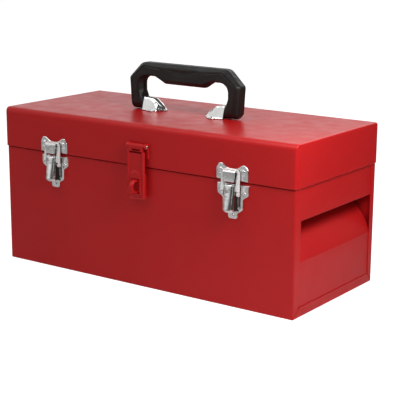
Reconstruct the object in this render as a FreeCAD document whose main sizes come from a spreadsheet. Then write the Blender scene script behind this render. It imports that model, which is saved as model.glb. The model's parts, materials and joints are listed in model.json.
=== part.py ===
import FreeCAD, Part
import Sketcher
import os
import re

# Sheet-steel hand toolbox: a hinged lid, two draw latches, a hasp and staple for a padlock,
# a folding carrying handle, finger grips in both ends and a lift-out tray.
# Millimetres. X runs along the width, -Y is the front, +Z is up.
# The origin is the centre of the base, on the surface that the box stands on.

DIMENSIONS = {
    # lid and body
    "lid_length": 406, "lid_width": 178, "lid_height": 47, "seam_height": 140,
    "rim_overlap": 6, "sheet": 1, "skirt_gap": 0.5, "bend": 1.5, "lid_bend": 4.5,
    "lid_end_bend": 2,
    "hem_depth": 8, "hem_setback": 4,
    "front_flange": 12, "back_flange": 9, "base_flange": 11, "slit": 0.5, "relief_radius": 1.5,
    # end panels with their finger grips
    "rail_depth": 42, "mouth_height": 44, "shelf_drop": 19, "pocket_height": 25.8,
    "pocket_depth": 38.5, "knee_depth": 9, "knee_drop": 9.8, "scoop_radius": 58,
    "scoop_margin": 6.5,
    "knee_shift_x": 0.815, "knee_shift_z": 0.783, "floor_shift": 0.72, "crease_shift": 0.14,
    "rail_hem": 8, "rail_fold": 0.6, "rail_bend": 0.2,
    # hinge
    "hinge_length": 390, "knuckles": 13, "knuckle_gap": 0.4, "hinge_drop": 2.6,
    "barrel_radius": 2.4, "barrel_gap": 0.3, "hinge_pin_radius": 1.2, "leaf": 1,
    "lower_leaf_depth": 16, "upper_leaf_depth": 13, "running_fit": 0.05, "swing_gap": 0.4,
    # draw latches, heights counted from the seam
    "latch_spacing": 250, "plate": 1,
    "base_half": 19.8, "neck_half": 12.8, "tongue_half": 6,
    "base_top_drop": 3.6, "ear_drop": 14.5, "neck_drop": 19, "shoulder_drop": 30.5,
    "toe_drop": 34.5, "tip_drop": 41.3, "base_rivet_offset": 14.6, "base_rivet_drop": 13,
    "tip_rivet_drop": 37.6, "tongue_round": 5.4, "shoulder_round": 2.5, "ear_round": 4,
    "plate_round": 1.5,
    "lever_pivot_drop": 6.4, "lever_pivot_out": 5.5, "lever_pin_radius": 1,
    "cheek_in": 3.4, "cheek_out": 4.4, "cheek_radius": 2.3,
    "lever_radius": 6.75, "lever_wall": 1, "lever_reach": 6, "lever_root": 2.8,
    "lever_length": 26, "lever_back_rise": 2.2, "lever_crown_rise": 3.9, "lever_crown_out": 1.5,
    "lever_brow_rise": 1.8, "lever_brow_out": 4, "lever_nose_drop": 1.5, "lever_nose_out": 4.4,
    "lever_toe_rise": 2, "lever_toe_out": 2, "lever_heel_rise": 3,
    "bail_offset": 7, "bail_lean": 0.7, "bail_side_gap": 0.65, "bail_thick": 1.6,
    "bail_bar": 2.4, "bail_eye": 2.2, "bail_seat_gap": 0.3,
    "keeper_half": 20.2, "keeper_gap": 0.4, "keeper_side": 12.5, "keeper_ear": 17.8,
    "keeper_ear_out": 16.5, "keeper_ear_in": 10.5, "keeper_dip": 13.3, "keeper_dip_half": 4,
    "keeper_rivet_offset": 14.3, "keeper_rivet_rise": 10.8, "keeper_side_round": 3,
    "keeper_ear_round": 2.5, "keeper_dip_round": 6,
    "hook_half": 6.2, "hook_out": 6, "hook_rise": 10.4, "hook_return": 2.5,
    # hasp and staple
    "hasp_axis_rise": 23, "hasp_axis_out": 3.1, "hasp_barrel": 2.8, "hasp_pin_radius": 1.4,
    "bracket_half": 14.5, "bracket_ear": 10.3, "bracket_plate": 1.2, "bracket_rise": 9,
    "bracket_top": 19.6, "hasp_rivet_offset": 6.5, "hasp_rivet_rise": 14,
    "strap_half": 12, "strap_thick": 1.6, "strap_neck": 9.9, "strap_neck_rise": 17,
    "strap_drop": 38, "strap_corner": 4, "neck_slot_half": 6, "neck_slot_low": 0.6,
    "neck_slot_high": 2.6, "rib_in": 9.4, "rib_out": 11.4, "rib_high": 0.7,
    "boss_half": 8, "boss_round": 7.6, "boss_high": 0.8, "boss_top_drop": 7, "boss_low_drop": 34,
    "slot_half": 5.5, "slot_top_drop": 15.1, "slot_low_drop": 31.1,
    "staple_half": 2.5, "staple_plate_half": 9, "staple_plate": 1.2, "staple_plate_top": 8,
    "staple_plate_low": 38, "staple_centre_drop": 23.3, "staple_outer": 6.7,
    "staple_inner": 4.5, "staple_out": 9.3, "staple_rivet_out": 12.2,
    # carrying handle
    "pivot_rise": 9.5, "pivot_radius": 2.5, "leg_in": 57.5, "leg_out": 77.5, "grip_out": 80,
    "grip_half": 9, "grip_top": 56, "shoulder_in": 60, "shoulder_rise": 36,
    "leg_chamfer": 5, "leg_foot_rise": 6, "leg_clear": 0.5, "arch_rise": 40,
    "arch_in": 46, "palm_rise": 32.5, "palm_half": 29, "arch_radius": 9, "grip_chamfer": 4,
    "grip_round": 5, "pin_depth": 10.5, "horn_gap": 0.3,
    "horn_toe": 33, "horn_top": 15.5, "horn_flat": 48, "horn_toe_rise": 2.5, "horn_half": 9,
    "horn_shoulder": 8.5, "horn_crown": 4.5, "horn_wall": 1.2, "horn_round": 4.2,
    "horn_slope": 1.5, "web_at": 44, "web": 2,
    "flange_thick": 1, "flange_half": 14.2, "flange_toe": 30.5, "flange_toe_half": 3.5,
    "flange_toe_round": 3.15,
    "flange_waist": 9.6, "lobe_in": 39, "lobe_out": 48, "lobe_round": 4,
    "handle_rivet_at": 43.5, "handle_rivet_offset": 11.6,
    # lift-out tray
    "tray_gap": 1.5, "tray_side_gap": 2, "tray_depth": 35, "tray_rest_gap": 0.2,
    "lip_reach": 27, "lip_margin": 7.5, "divider_hump": 11.8, "hump_half": 58, "hump_top_half": 46,
    "grip_slot_half": 40, "slot_below": 16.2, "slot_above": 2.8, "grip_slot_round": 8,
    # rivets
    "rivet_radius": 1.4, "rivet_head": 2.3, "rivet_crown": 1.4, "rivet_height": 1.1,
    "rivet_tail": 1.9, "tail_height": 1.1,
}

DERIVED = {
    "body_length": "lid_length - 2 * (sheet + skirt_gap)",
    "body_width": "lid_width - 2 * (sheet + skirt_gap)",
    "rim_height": "seam_height + rim_overlap",
    "lid_top": "seam_height + lid_height",
    "end_face": "body_length / 2 - sheet",
    "scoop_half": "body_width / 2 - sheet - scoop_margin",
    "rail_bottom": "rim_height - rail_depth",
    "crease_height": "rail_bottom - mouth_height",
    "shelf_height": "rim_height - shelf_drop",
    "pocket_floor": "shelf_height - pocket_height",
    "knee_height": "pocket_floor - knee_drop",
    "hinge_out": "body_width / 2 + barrel_radius + barrel_gap",
    "hinge_height": "seam_height - hinge_drop",
    "latch_out": "body_width / 2 + lever_pivot_out",
    "latch_height": "seam_height - lever_pivot_drop",
    "bail_in": "lever_radius + bail_side_gap",
    "bail_out": "bail_in + bail_bar",
    "bail_pin_out": "latch_out - bail_lean",
    "bail_pin_height": "latch_height - bail_offset",
    "hook_top": "seam_height + hook_rise",
    "bail_low": "hook_top + bail_seat_gap",
    "hasp_out": "lid_width / 2 + hasp_axis_out",
    "hasp_height": "seam_height + hasp_axis_rise",
    "strap_front": "hasp_out + hasp_barrel",
    "handle_height": "lid_top + pivot_rise",
    "horn_end": "leg_in - horn_gap",
    "tray_half": "end_face - pocket_depth - sheet - tray_gap",
    "tray_side": "body_width / 2 - sheet - tray_side_gap",
    "lip_half": "tray_side - lip_margin",
    "tray_floor": "shelf_height - tray_depth",
    "tray_rim": "shelf_height + tray_rest_gap + sheet",
    "grip_slot_low": "tray_rim - slot_below",
    "grip_slot_high": "tray_rim + slot_above",
}

doc = FreeCAD.newDocument("toolbox")
nodes = []
TURNS = {
    "x": FreeCAD.Rotation(FreeCAD.Vector(0, 1, 0), 90),
    "y": FreeCAD.Rotation(FreeCAD.Vector(1, 0, 0), -90),
    "z": FreeCAD.Rotation(),
}


def make_sheet():
    sheet = doc.addObject("Spreadsheet::Sheet", "dims")
    for row, (alias, value) in enumerate(DIMENSIONS.items(), 1):
        sheet.set(f"A{row}", alias)
        sheet.set(f"B{row}", str(value))
        sheet.setAlias(f"B{row}", alias)
    for row, (alias, text) in enumerate(DERIVED.items(), len(DIMENSIONS) + 1):
        sheet.set(f"A{row}", alias)
        sheet.set(f"B{row}", "=" + text)
        sheet.setAlias(f"B{row}", alias)
    doc.recompute()


def formula(text):
    # every word that isn't a function is a cell of the sheet
    return re.sub(r"\b([a-z][a-z_]*)\b(?!\()", r"dims.\1", text)


def place(item, x, y, z):
    for axis, text in zip("xyz", (x, y, z)):
        item.setExpression(f"Placement.Base.{axis}", formula(text))


def block(name, x, y, z):
    # x, y and z are (low, high) pairs
    item = doc.addObject("Part::Box", name)
    for size, (low, high) in zip(("Length", "Width", "Height"), (x, y, z)):
        item.setExpression(size, formula(f"({high}) - ({low})"))
    place(item, x[0], y[0], z[0])
    return item


def rod(name, radius, x, y, z, tip_radius=None):
    # a cylinder, or a cone when it has a tip radius, along the one of x, y and z that is a pair
    spans = {axis: at for axis, at in zip("xyz", (x, y, z)) if isinstance(at, tuple)}
    (axis, (low, high)), = spans.items()
    item = doc.addObject("Part::Cone" if tip_radius else "Part::Cylinder", name)
    if tip_radius:
        item.setExpression("Radius1", formula(radius))
        item.setExpression("Radius2", formula(tip_radius))
    else:
        item.setExpression("Radius", formula(radius))
    item.setExpression("Height", formula(f"({high}) - ({low})"))
    item.Placement = FreeCAD.Placement(FreeCAD.Vector(), TURNS[axis])
    place(item, *(at[0] if isinstance(at, tuple) else at for at in (x, y, z)))
    return item


def fuse(name, *shapes):
    item = doc.addObject("Part::MultiFuse", name)
    item.Shapes = list(shapes)
    item.Refine = True
    return item


def common(name, first, second):
    item = doc.addObject("Part::Common", name)
    item.Base = first
    item.Tool = second
    return item


def cut(name, base, *tools):
    item = doc.addObject("Part::Cut", name)
    item.Base = base
    item.Tool = tools[0] if len(tools) == 1 else fuse(name + "_tools", *tools)
    return item


def mirror(name, source, normal=FreeCAD.Vector(1, 0, 0)):
    item = doc.addObject("Part::Mirroring", name)
    item.Source = source
    item.Normal = normal
    return item


def group(name, shapes):
    item = doc.addObject("Part::Compound", name)
    item.Links = shapes
    return item


def node(item, label):
    item.Label = label
    nodes.append(item)
    return item


def node_pair(make, label):
    # the right-hand piece, and its mirror image on the left
    right = node(make(), label + "_right")
    node(mirror(label + "_mirrored", right), label + "_left")
    return right


def origin_plane(body, role):
    return next(item for item in body.Origin.OriginFeatures if item.Role == role)


def outline_sketch(body, name, role, points, offset):
    # a closed polygon whose corners are all pinned to formulas
    sketch = body.newObject("Sketcher::SketchObject", name + "_sketch")
    sketch.AttachmentSupport = [(origin_plane(body, role), "")]
    sketch.MapMode = "FlatFace"
    sketch.setExpression("AttachmentOffset.Base.z", formula(offset))
    count = len(points)
    start = [FreeCAD.Vector(i, (i % 2) + i * i, 0) for i in range(count)]
    for i in range(count):
        sketch.addGeometry(Part.LineSegment(start[i], start[(i + 1) % count]), False)
    for i, (across, up) in enumerate(points):
        sketch.addConstraint(Sketcher.Constraint("Coincident", (i - 1) % count, 2, i, 1))
        for kind, text in (("DistanceX", across), ("DistanceY", up)):
            at = sketch.addConstraint(Sketcher.Constraint(kind, -1, 1, i, 1, 1.0))
            sketch.setExpression(f"Constraints[{at}]", formula(text))
    return sketch


def corner_edges(pad, sketch, corners):
    # the edges of the pad that stand on the given corners of its sketch
    plane = sketch.getGlobalPlacement()
    normal = plane.Rotation.multVec(FreeCAD.Vector(0, 0, 1))
    found = []
    for corner in corners:
        foot = plane.multVec(sketch.getPoint(corner, 1))
        for number, edge in enumerate(pad.Shape.Edges, 1):
            ends = [vertex.Point for vertex in edge.Vertexes]
            if len(ends) != 2:
                continue
            if all((end - foot).cross(normal).Length < 1e-5 for end in ends):
                found.append(f"Edge{number}")
    return found


def prism(name, role, points, low, high, rounds=()):
    # a polygon on an origin plane, padded between two places along the plane's normal axis;
    # rounds lists (corner numbers, radius)
    body = doc.addObject("PartDesign::Body", name)
    backwards = role == "XZ_Plane"
    offset = f"-({high})" if backwards else low
    sketch = outline_sketch(body, name, role, points, offset)
    pad = body.newObject("PartDesign::Pad", name + "_pad")
    pad.Profile = sketch
    pad.setExpression("Length", formula(f"({high}) - ({low})"))
    doc.recompute()
    last = pad
    for number, (corners, radius) in enumerate(rounds):
        fillet = body.newObject("PartDesign::Fillet", f"{name}_round{number}")
        fillet.Base = (last, corner_edges(last, sketch, corners))
        fillet.setExpression("Radius", formula(radius))
        doc.recompute()
        last = fillet
    return body


def both_sides(points):
    # an outline given on the +X side, from low to high, closed with its mirror image
    return points + [(f"-({across})", up) for across, up in reversed(points)]


def rivet(name, x, y, z, face, back, direction):
    # a domed rivet through sheets from back to face, its head on the face;
    # direction is the axis and the sign that the head points
    axis, sign = direction
    spots = {"x": x, "y": y, "z": z}

    def piece(part, start, length, radius, tip=None):
        ends = (start, f"({start}) + ({length})") if sign > 0 else (f"({start}) - ({length})", start)
        at = {**spots, axis: ends}
        if tip and sign < 0:
            radius, tip = tip, radius
        return rod(f"{name}_{part}", radius, at["x"], at["y"], at["z"], tip)

    head = piece("head", face, "rivet_height", "rivet_head", "rivet_crown")
    depth = f"({face}) - ({back})" if sign > 0 else f"({back}) - ({face})"
    shank = piece("shank", back, depth, "rivet_radius")
    tail_start = f"({back}) - tail_height" if sign > 0 else f"({back}) + tail_height"
    tail = piece("tail", tail_start, "tail_height", "rivet_tail")
    return fuse(name, head, shank, tail)


def rivet_hole(name, x, y, z):
    return rod(name, "rivet_radius + running_fit", x, y, z)


# Body: one sheet bent into the front, the base and the back, with flanges round each end

def body_wrap():
    side, low = "body_width / 2", "-body_width / 2"
    profile = [
        (low, "rim_height"), (low, "0"), (side, "0"),
        (side, "rim_height"), (f"{side} - sheet", "rim_height"), (f"{side} - sheet", "sheet"),
        (f"{low} + sheet", "sheet"), (f"{low} + sheet", "rim_height"),
    ]
    sheet = prism("wrap_sheet", "YZ_Plane", profile, "-body_length / 2", "body_length / 2",
                  [((1, 2), "bend + sheet"), ((5, 6), "bend")])
    ring = [
        (low, "rim_height"), (low, "0"), (side, "0"),
        (side, "rim_height"), (f"{side} - back_flange", "rim_height"),
        (f"{side} - back_flange", "base_flange"), (f"{low} + front_flange", "base_flange"),
        (f"{low} + front_flange", "rim_height"),
    ]
    flange = prism("end_flange", "YZ_Plane", ring, "end_face", "body_length / 2",
                   [((1, 2), "bend + sheet")])
    past = "body_length / 2 + sheet"
    cuts = []
    for name, edge, inner in (("front", low, f"{low} + front_flange"),
                              ("back", side, f"{side} - back_flange")):
        mitre = [(edge, "-slit / 2"), (edge, "slit / 2"), (inner, "base_flange + slit / 2"),
                 (inner, "base_flange - slit / 2")]
        cuts.append(prism(f"mitre_{name}", "YZ_Plane", mitre, "end_face", past))
        cuts.append(rod(f"relief_{name}", "relief_radius", ("end_face", past), inner,
                        "base_flange"))
    flange = cut("mitred_flange", flange, *cuts)
    other = mirror("other_flange", flange)
    hem_x = ("-(body_length / 2 - hem_setback)", "body_length / 2 - hem_setback")
    hem_z = ("rim_height - hem_depth", "rim_height")
    front_hem = block("front_hem", hem_x, (f"{low} + sheet", f"{low} + 2 * sheet"), hem_z)
    back_hem = block("back_hem", hem_x, (f"{side} - 2 * sheet", f"{side} - sheet"), hem_z)
    whole = fuse("wrap_whole", sheet, flange, other, front_hem, back_hem)
    holes = [rivet_hole(f"wrap_hole{i}", x, (low, f"{low} + sheet"), z)
             for i, (x, z) in enumerate(body_rivet_spots())]
    return cut("wrap_drilled", whole, *holes)


def body_rivet_spots():
    spots = []
    for side in (-1, 1):
        centre = f"{side} * latch_spacing / 2"
        for across in (-1, 1):
            x = f"{centre} + {across} * base_rivet_offset"
            spots.append((x, "seam_height - base_rivet_drop"))
        spots.append((centre, "seam_height - tip_rivet_drop"))
    spots += [("0", z) for z in staple_rivet_heights()]
    return spots


def staple_rivet_heights():
    centre = "seam_height - staple_centre_drop"
    return [f"{centre} - staple_rivet_out", f"{centre} + staple_rivet_out"]


def end_panel():
    knee_x, wall = "end_face - knee_depth", "end_face - pocket_depth"
    shelf, floor = "shelf_height", "pocket_floor"
    points = [
        ("end_face", "sheet"), ("end_face", "crease_height"), (knee_x, "knee_height"),
        (wall, floor), (wall, f"{shelf} - sheet"), ("end_face - sheet", f"{shelf} - sheet"),
        ("end_face - sheet", shelf), (f"{wall} - sheet", shelf),
        (f"{wall} - sheet", f"{floor} - floor_shift * sheet"),
        (f"{knee_x} - knee_shift_x * sheet", "knee_height - knee_shift_z * sheet"),
        ("end_face - sheet", "crease_height - crease_shift * sheet"),
        ("end_face - sheet", "sheet"),
    ]
    inside = "body_width / 2 - sheet"
    panel = prism("panel_bent", "XZ_Plane", points, f"-({inside})", inside,
                  [((2,), "scoop_radius"), ((9,), "scoop_radius - sheet"),
                   ((3, 4), "bend"), ((7, 8), "bend + sheet")])
    span_x = (f"{wall} - 2 * sheet", "end_face + sheet")
    span_z = ("crease_height", "shelf_height + sheet")
    front = block("panel_front_gap", span_x, (f"-({inside})", "-scoop_half"), span_z)
    back = block("panel_back_gap", span_x, ("scoop_half", inside), span_z)
    # the lower corners make way for the bends of the wrap
    foot_x, foot_z = ("end_face - 2 * sheet", "end_face + sheet"), ("sheet", "sheet + bend")
    corners = [block("panel_front_foot", foot_x, (f"-({inside})", f"-({inside}) + bend"), foot_z),
               block("panel_back_foot", foot_x, (f"{inside} - bend", inside), foot_z)]
    # the flange's relief hole goes on through the panel at the front
    drain = rod("panel_relief", "relief_radius", ("end_face - 2 * sheet", "end_face + sheet"),
                "-body_width / 2 + front_flange", "base_flange")
    return cut("panel_trimmed", panel, front, back, drain, *corners)


def grip_rail():
    fold = "end_face - 2 * sheet - rail_fold"
    points = [
        ("end_face", "rim_height"), ("end_face", "rail_bottom"), (fold, "rail_bottom"),
        (fold, "rail_bottom + rail_hem"), (f"{fold} + sheet", "rail_bottom + rail_hem"),
        (f"{fold} + sheet", "rail_bottom + sheet"),
        ("end_face - sheet", "rail_bottom + sheet"), ("end_face - sheet", "rim_height"),
    ]
    inside = "body_width / 2 - sheet"
    return prism("rail_bent", "XZ_Plane", points, f"-({inside})", inside,
                 [((1, 2), "sheet + rail_bend")])


# Lid: one pressed sheet with four skirts

def lid_shell():
    def rounded(name, inset):
        end, side = f"lid_length / 2 - {inset}", f"lid_width / 2 - {inset}"
        top = f"lid_top - {inset}"
        points = [(f"-({side})", "seam_height"), (side, "seam_height"), (side, top),
                  (f"-({side})", top)]
        body = prism(name, "YZ_Plane", points, f"-({end})", end,
                     [((2, 3), f"lid_bend - {inset}")])
        folded = body.Tip
        fillet = body.newObject("PartDesign::Fillet", f"{name}_ends")
        fillet.Base = (folded, end_fold_edges(folded.Shape))
        fillet.setExpression("Radius", formula(f"lid_end_bend - {inset}"))
        doc.recompute()
        return body

    outer = rounded("lid_outer", "0")
    inner = rounded("lid_inner", "sheet")
    holes = [rivet_hole(f"skirt_hole{i}", x, ("-lid_width / 2", "-lid_width / 2 + sheet"), z)
             for i, (x, z) in enumerate(keeper_rivet_spots() + hasp_rivet_spots())]
    holes += [rivet_hole(f"top_hole{i}", x, y, ("lid_top - sheet", "lid_top"))
              for i, (x, y) in enumerate(handle_rivet_spots())]
    return cut("lid_drilled", outer, inner, *holes)


def end_fold_edges(shape):
    # the edges of both end faces, apart from those round the open bottom
    bottom = min(vertex.Z for vertex in shape.Vertexes)
    names = []
    for number, edge in enumerate(shape.Edges, 1):
        ends = edge.Vertexes
        flat = abs(ends[0].X - ends[-1].X) < 1e-6
        if flat and max(vertex.Z for vertex in ends) > bottom + 1e-6:
            names.append(f"Edge{number}")
    return names


def keeper_rivet_spots():
    return [(f"{side} * latch_spacing / 2 + {across} * keeper_rivet_offset",
             "seam_height + keeper_rivet_rise") for side in (-1, 1) for across in (-1, 1)]


def hasp_rivet_spots():
    return [(f"{side} * hasp_rivet_offset", "seam_height + hasp_rivet_rise") for side in (-1, 1)]


def handle_rivet_spots():
    return [(f"{side} * handle_rivet_at", f"{across} * handle_rivet_offset")
            for side in (-1, 1) for across in (-1, 1)]


# Piano hinge along the back

def knuckle_span(index):
    pitch = "hinge_length / knuckles"
    start = f"-hinge_length / 2 + {index} * {pitch}"
    return (f"{start} + knuckle_gap / 2", f"{start} + {pitch} - knuckle_gap / 2")


def hinge_leaf(name, own, y, z, notch_z):
    # own is 0 for the knuckles at even places and 1 for those at odd places
    half = "hinge_length / 2"
    leaf = block(f"{name}_strip", (f"-{half}", half), y, z)
    notches = []
    barrels = []
    for index in range(DIMENSIONS["knuckles"]):
        low, high = knuckle_span(index)
        if index % 2 == own:
            barrels.append(rod(f"{name}_barrel{index}", "barrel_radius", (low, high),
                               "hinge_out", "hinge_height"))
        else:
            wide = (f"{low} - knuckle_gap", f"{high} + knuckle_gap")
            notches.append(block(f"{name}_notch{index}", wide, y, notch_z))
    leaf = cut(f"{name}_notched", leaf, *notches)
    bore = rod(f"{name}_bore", "hinge_pin_radius + running_fit", (f"-{half} - leaf", f"{half} + leaf"),
               "hinge_out", "hinge_height")
    return cut(f"{name}_bored", fuse(f"{name}_whole", leaf, *barrels), bore)


def hinge_leaf_body():
    y = ("body_width / 2", "body_width / 2 + leaf")
    clear = "hinge_height - barrel_radius - swing_gap"
    return hinge_leaf("lower_leaf", 0, y, ("hinge_height - lower_leaf_depth", "hinge_height"),
                      (clear, "hinge_height + leaf"))


def hinge_leaf_lid():
    y = ("lid_width / 2", "lid_width / 2 + leaf")
    clear = "hinge_height + barrel_radius + swing_gap"
    return hinge_leaf("upper_leaf", 1, y, ("hinge_height", "seam_height + upper_leaf_depth"),
                      ("hinge_height - leaf", clear))


def hinge_pin():
    return rod("pin_hinge", "hinge_pin_radius", ("-hinge_length / 2", "hinge_length / 2"),
               "hinge_out", "hinge_height")


# Draw latches: a base and a lever on the body, a bail on the lever, a keeper on the lid

CENTRE = "latch_spacing / 2"


def across(points):
    # an outline about the latch's own centre line
    return [(f"{CENTRE} + {x}", z) for x, z in points]


def latch_base():
    half = [
        ("tongue_half", "seam_height - tip_drop"), ("tongue_half", "seam_height - toe_drop"),
        ("neck_half", "seam_height - shoulder_drop"), ("neck_half", "seam_height - neck_drop"),
        ("base_half", "seam_height - ear_drop"), ("base_half", "seam_height - base_top_drop"),
    ]
    face = "body_width / 2"
    plate = prism("base_plate", "XZ_Plane", across(both_sides(half)), f"-({face} + plate)",
                  f"-{face}",
                  [((0, 11), "tongue_round"), ((2, 9), "shoulder_round"),
                   ((4, 7), "ear_round"), ((5, 6), "plate_round")])
    pieces = [plate]
    low, high = "latch_height - cheek_radius", "latch_height + cheek_radius"
    for side, start, end in (("a", "-cheek_out", "-cheek_in"), ("b", "cheek_in", "cheek_out")):
        x = (f"{CENTRE} + {start}", f"{CENTRE} + {end}")
        pieces.append(block(f"cheek_root_{side}", x, ("-latch_out", f"-{face} - plate / 2"),
                            (low, high)))
        pieces.append(rod(f"cheek_eye_{side}", "cheek_radius", x, "-latch_out", "latch_height"))
    bore = rod("base_bore", "lever_pin_radius + running_fit",
               (f"{CENTRE} - lever_radius", f"{CENTRE} + lever_radius"), "-latch_out",
               "latch_height")
    y = (f"-({face} + plate)", f"-{face}")
    holes = [rivet_hole(f"base_hole{i}", x, y, z)
             for i, (x, z) in enumerate(body_rivet_spots()[3:6])]
    return cut("base_drilled", fuse("base_whole", *pieces), bore, *holes)


def lever_pin():
    return rod("pin_lever", "lever_pin_radius",
               (f"{CENTRE} - lever_radius", f"{CENTRE} + lever_radius"), "-latch_out",
               "latch_height")


def latch_lever():
    # a half-round shell on straight sides, trimmed to the lever's side profile
    axis_y = "-(latch_out + lever_reach - lever_radius)"
    z = ("latch_height - lever_length - lever_reach", "latch_height + lever_reach")
    back = "-(latch_out - lever_root)"

    def half_round(name, wide, deep):
        x = (f"{CENTRE} - ({wide})", f"{CENTRE} + ({wide})")
        return fuse(name, rod(f"{name}_round", wide, CENTRE, axis_y, z),
                    block(f"{name}_sides", x, (axis_y, deep), z))

    shell = cut("lever_shell", half_round("lever_outer", "lever_radius", back),
                half_round("lever_inner", "lever_radius - lever_wall", f"{back} + lever_wall"))
    out, up = "latch_out", "latch_height"
    profile = [
        (f"-({out} - lever_root)", f"{up} + lever_back_rise"),
        (f"-({out} + lever_crown_out)", f"{up} + lever_crown_rise"),
        (f"-({out} + lever_brow_out)", f"{up} + lever_brow_rise"),
        (f"-({out} + lever_nose_out)", f"{up} - lever_nose_drop"),
        (f"-({out} + lever_reach)", f"{up} - lever_reach"),
        (f"-({out} + lever_reach)", f"{up} - lever_length + lever_toe_rise"),
        (f"-({out} + lever_toe_out)", f"{up} - lever_length"),
        (f"-({out} - lever_root)", f"{up} - lever_length + lever_heel_rise"),
    ]
    side = prism("lever_side", "YZ_Plane", profile, f"{CENTRE} - lever_radius",
                 f"{CENTRE} + lever_radius", [((2, 3, 4), "lever_wall")])
    x = (f"{CENTRE} - 2 * lever_radius", f"{CENTRE} + 2 * lever_radius")
    pivot = rod("lever_pivot", "lever_pin_radius + running_fit", x, "-latch_out", "latch_height")
    bail = rod("lever_bail", "lever_pin_radius + running_fit", x, "-bail_pin_out",
               "bail_pin_height")
    return cut("lever_drilled", common("lever_trimmed", shell, side), pivot, bail)


def bail_pin():
    reach = "bail_out + bail_seat_gap"
    return rod("pin_bail", "lever_pin_radius", (f"{CENTRE} - ({reach})", f"{CENTRE} + {reach}"),
               "-bail_pin_out", "bail_pin_height")


def latch_bail():
    low, high = "bail_low", "bail_low + bail_bar"
    half = [("bail_in", "bail_pin_height"), ("bail_out", "bail_pin_height"), ("bail_out", high)]
    points = half + [(f"-({x})", z) for x, z in reversed(half)]
    points += [("-bail_in", low), ("bail_in", low)]
    loop = prism("bail_loop", "XZ_Plane", across(points), "-(bail_pin_out + bail_thick / 2)",
                 "-(bail_pin_out - bail_thick / 2)",
                 [((2, 3), "bail_bar"), ((6, 7), "bail_bar / 2")])
    eyes = []
    for side, start, end in (("a", "-bail_out", "-bail_in"), ("b", "bail_in", "bail_out")):
        x = (f"{CENTRE} + {start}", f"{CENTRE} + {end}")
        eyes.append(rod(f"bail_eye_{side}", "bail_eye", x, "-bail_pin_out", "bail_pin_height"))
    bore = rod("bail_bore", "lever_pin_radius + running_fit",
               (f"{CENTRE} - 2 * bail_out", f"{CENTRE} + 2 * bail_out"), "-bail_pin_out",
               "bail_pin_height")
    return cut("bail_drilled", fuse("bail_whole", loop, *eyes), bore)


def latch_keeper():
    half = [
        ("keeper_half", "seam_height + keeper_gap"), ("keeper_half", "seam_height + keeper_side"),
        ("keeper_ear_out", "seam_height + keeper_ear"),
        ("keeper_ear_in", "seam_height + keeper_ear"),
        ("keeper_dip_half", "seam_height + keeper_dip"),
    ]
    face = "lid_width / 2"
    y = (f"-({face} + plate)", f"-{face}")
    flat = prism("keeper_plate", "XZ_Plane", across(both_sides(half)), *y,
                 [((0, 9), "plate_round"), ((1, 8), "keeper_side_round"),
                  ((2, 3, 6, 7), "keeper_ear_round"), ((4, 5), "keeper_dip_round")])
    near, far = f"{face} + plate", f"{face} + plate + hook_out"
    low = "seam_height - keeper_gap"
    profile = [
        (f"-({near})", "hook_top"), (f"-({far})", "hook_top"), (f"-({far})", low),
        (f"-({far} - hook_return)", low), (f"-({far} - hook_return)", f"{low} + plate"),
        (f"-({far} - plate)", f"{low} + plate"), (f"-({far} - plate)", "hook_top - plate"),
        (f"-({near})", "hook_top - plate"),
    ]
    hook = prism("keeper_hook", "YZ_Plane", profile, f"{CENTRE} - hook_half",
                 f"{CENTRE} + hook_half", [((1, 2), "2 * plate"), ((5, 6), "plate")])
    holes = [rivet_hole(f"keeper_hole{i}", x, y, z)
             for i, (x, z) in enumerate(keeper_rivet_spots()[2:])]
    return cut("keeper_drilled", fuse("keeper_whole", flat, hook), *holes)


# Hasp: a strap hung from a bracket on the lid, over a staple on the body

def hasp_bracket():
    face = "lid_width / 2"
    y = (f"-({face} + bracket_plate)", f"-{face}")
    plate = block("bracket_flat", ("-bracket_half", "bracket_half"), y,
                  ("seam_height + bracket_rise", "seam_height + bracket_top"))
    pieces = [plate]
    ears = (("a", ("-bracket_half", "-bracket_ear")), ("b", ("bracket_ear", "bracket_half")))
    for side, x in ears:
        pieces.append(block(f"bracket_ear_{side}", x, ("-hasp_out", f"-{face}"),
                            ("seam_height + bracket_top - sheet", "hasp_height + hasp_barrel")))
        pieces.append(rod(f"bracket_knuckle_{side}", "hasp_barrel", x, "-hasp_out", "hasp_height"))
    bore = rod("bracket_bore", "hasp_pin_radius + running_fit",
               ("-bracket_half - sheet", "bracket_half + sheet"), "-hasp_out", "hasp_height")
    holes = [rivet_hole(f"bracket_hole{i}", x, y, z)
             for i, (x, z) in enumerate(hasp_rivet_spots())]
    return cut("bracket_drilled", fuse("bracket_whole", *pieces), bore, *holes)


def hasp_pin():
    return rod("pin_hasp", "hasp_pin_radius", ("-bracket_half", "bracket_half"), "-hasp_out",
               "hasp_height")


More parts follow.
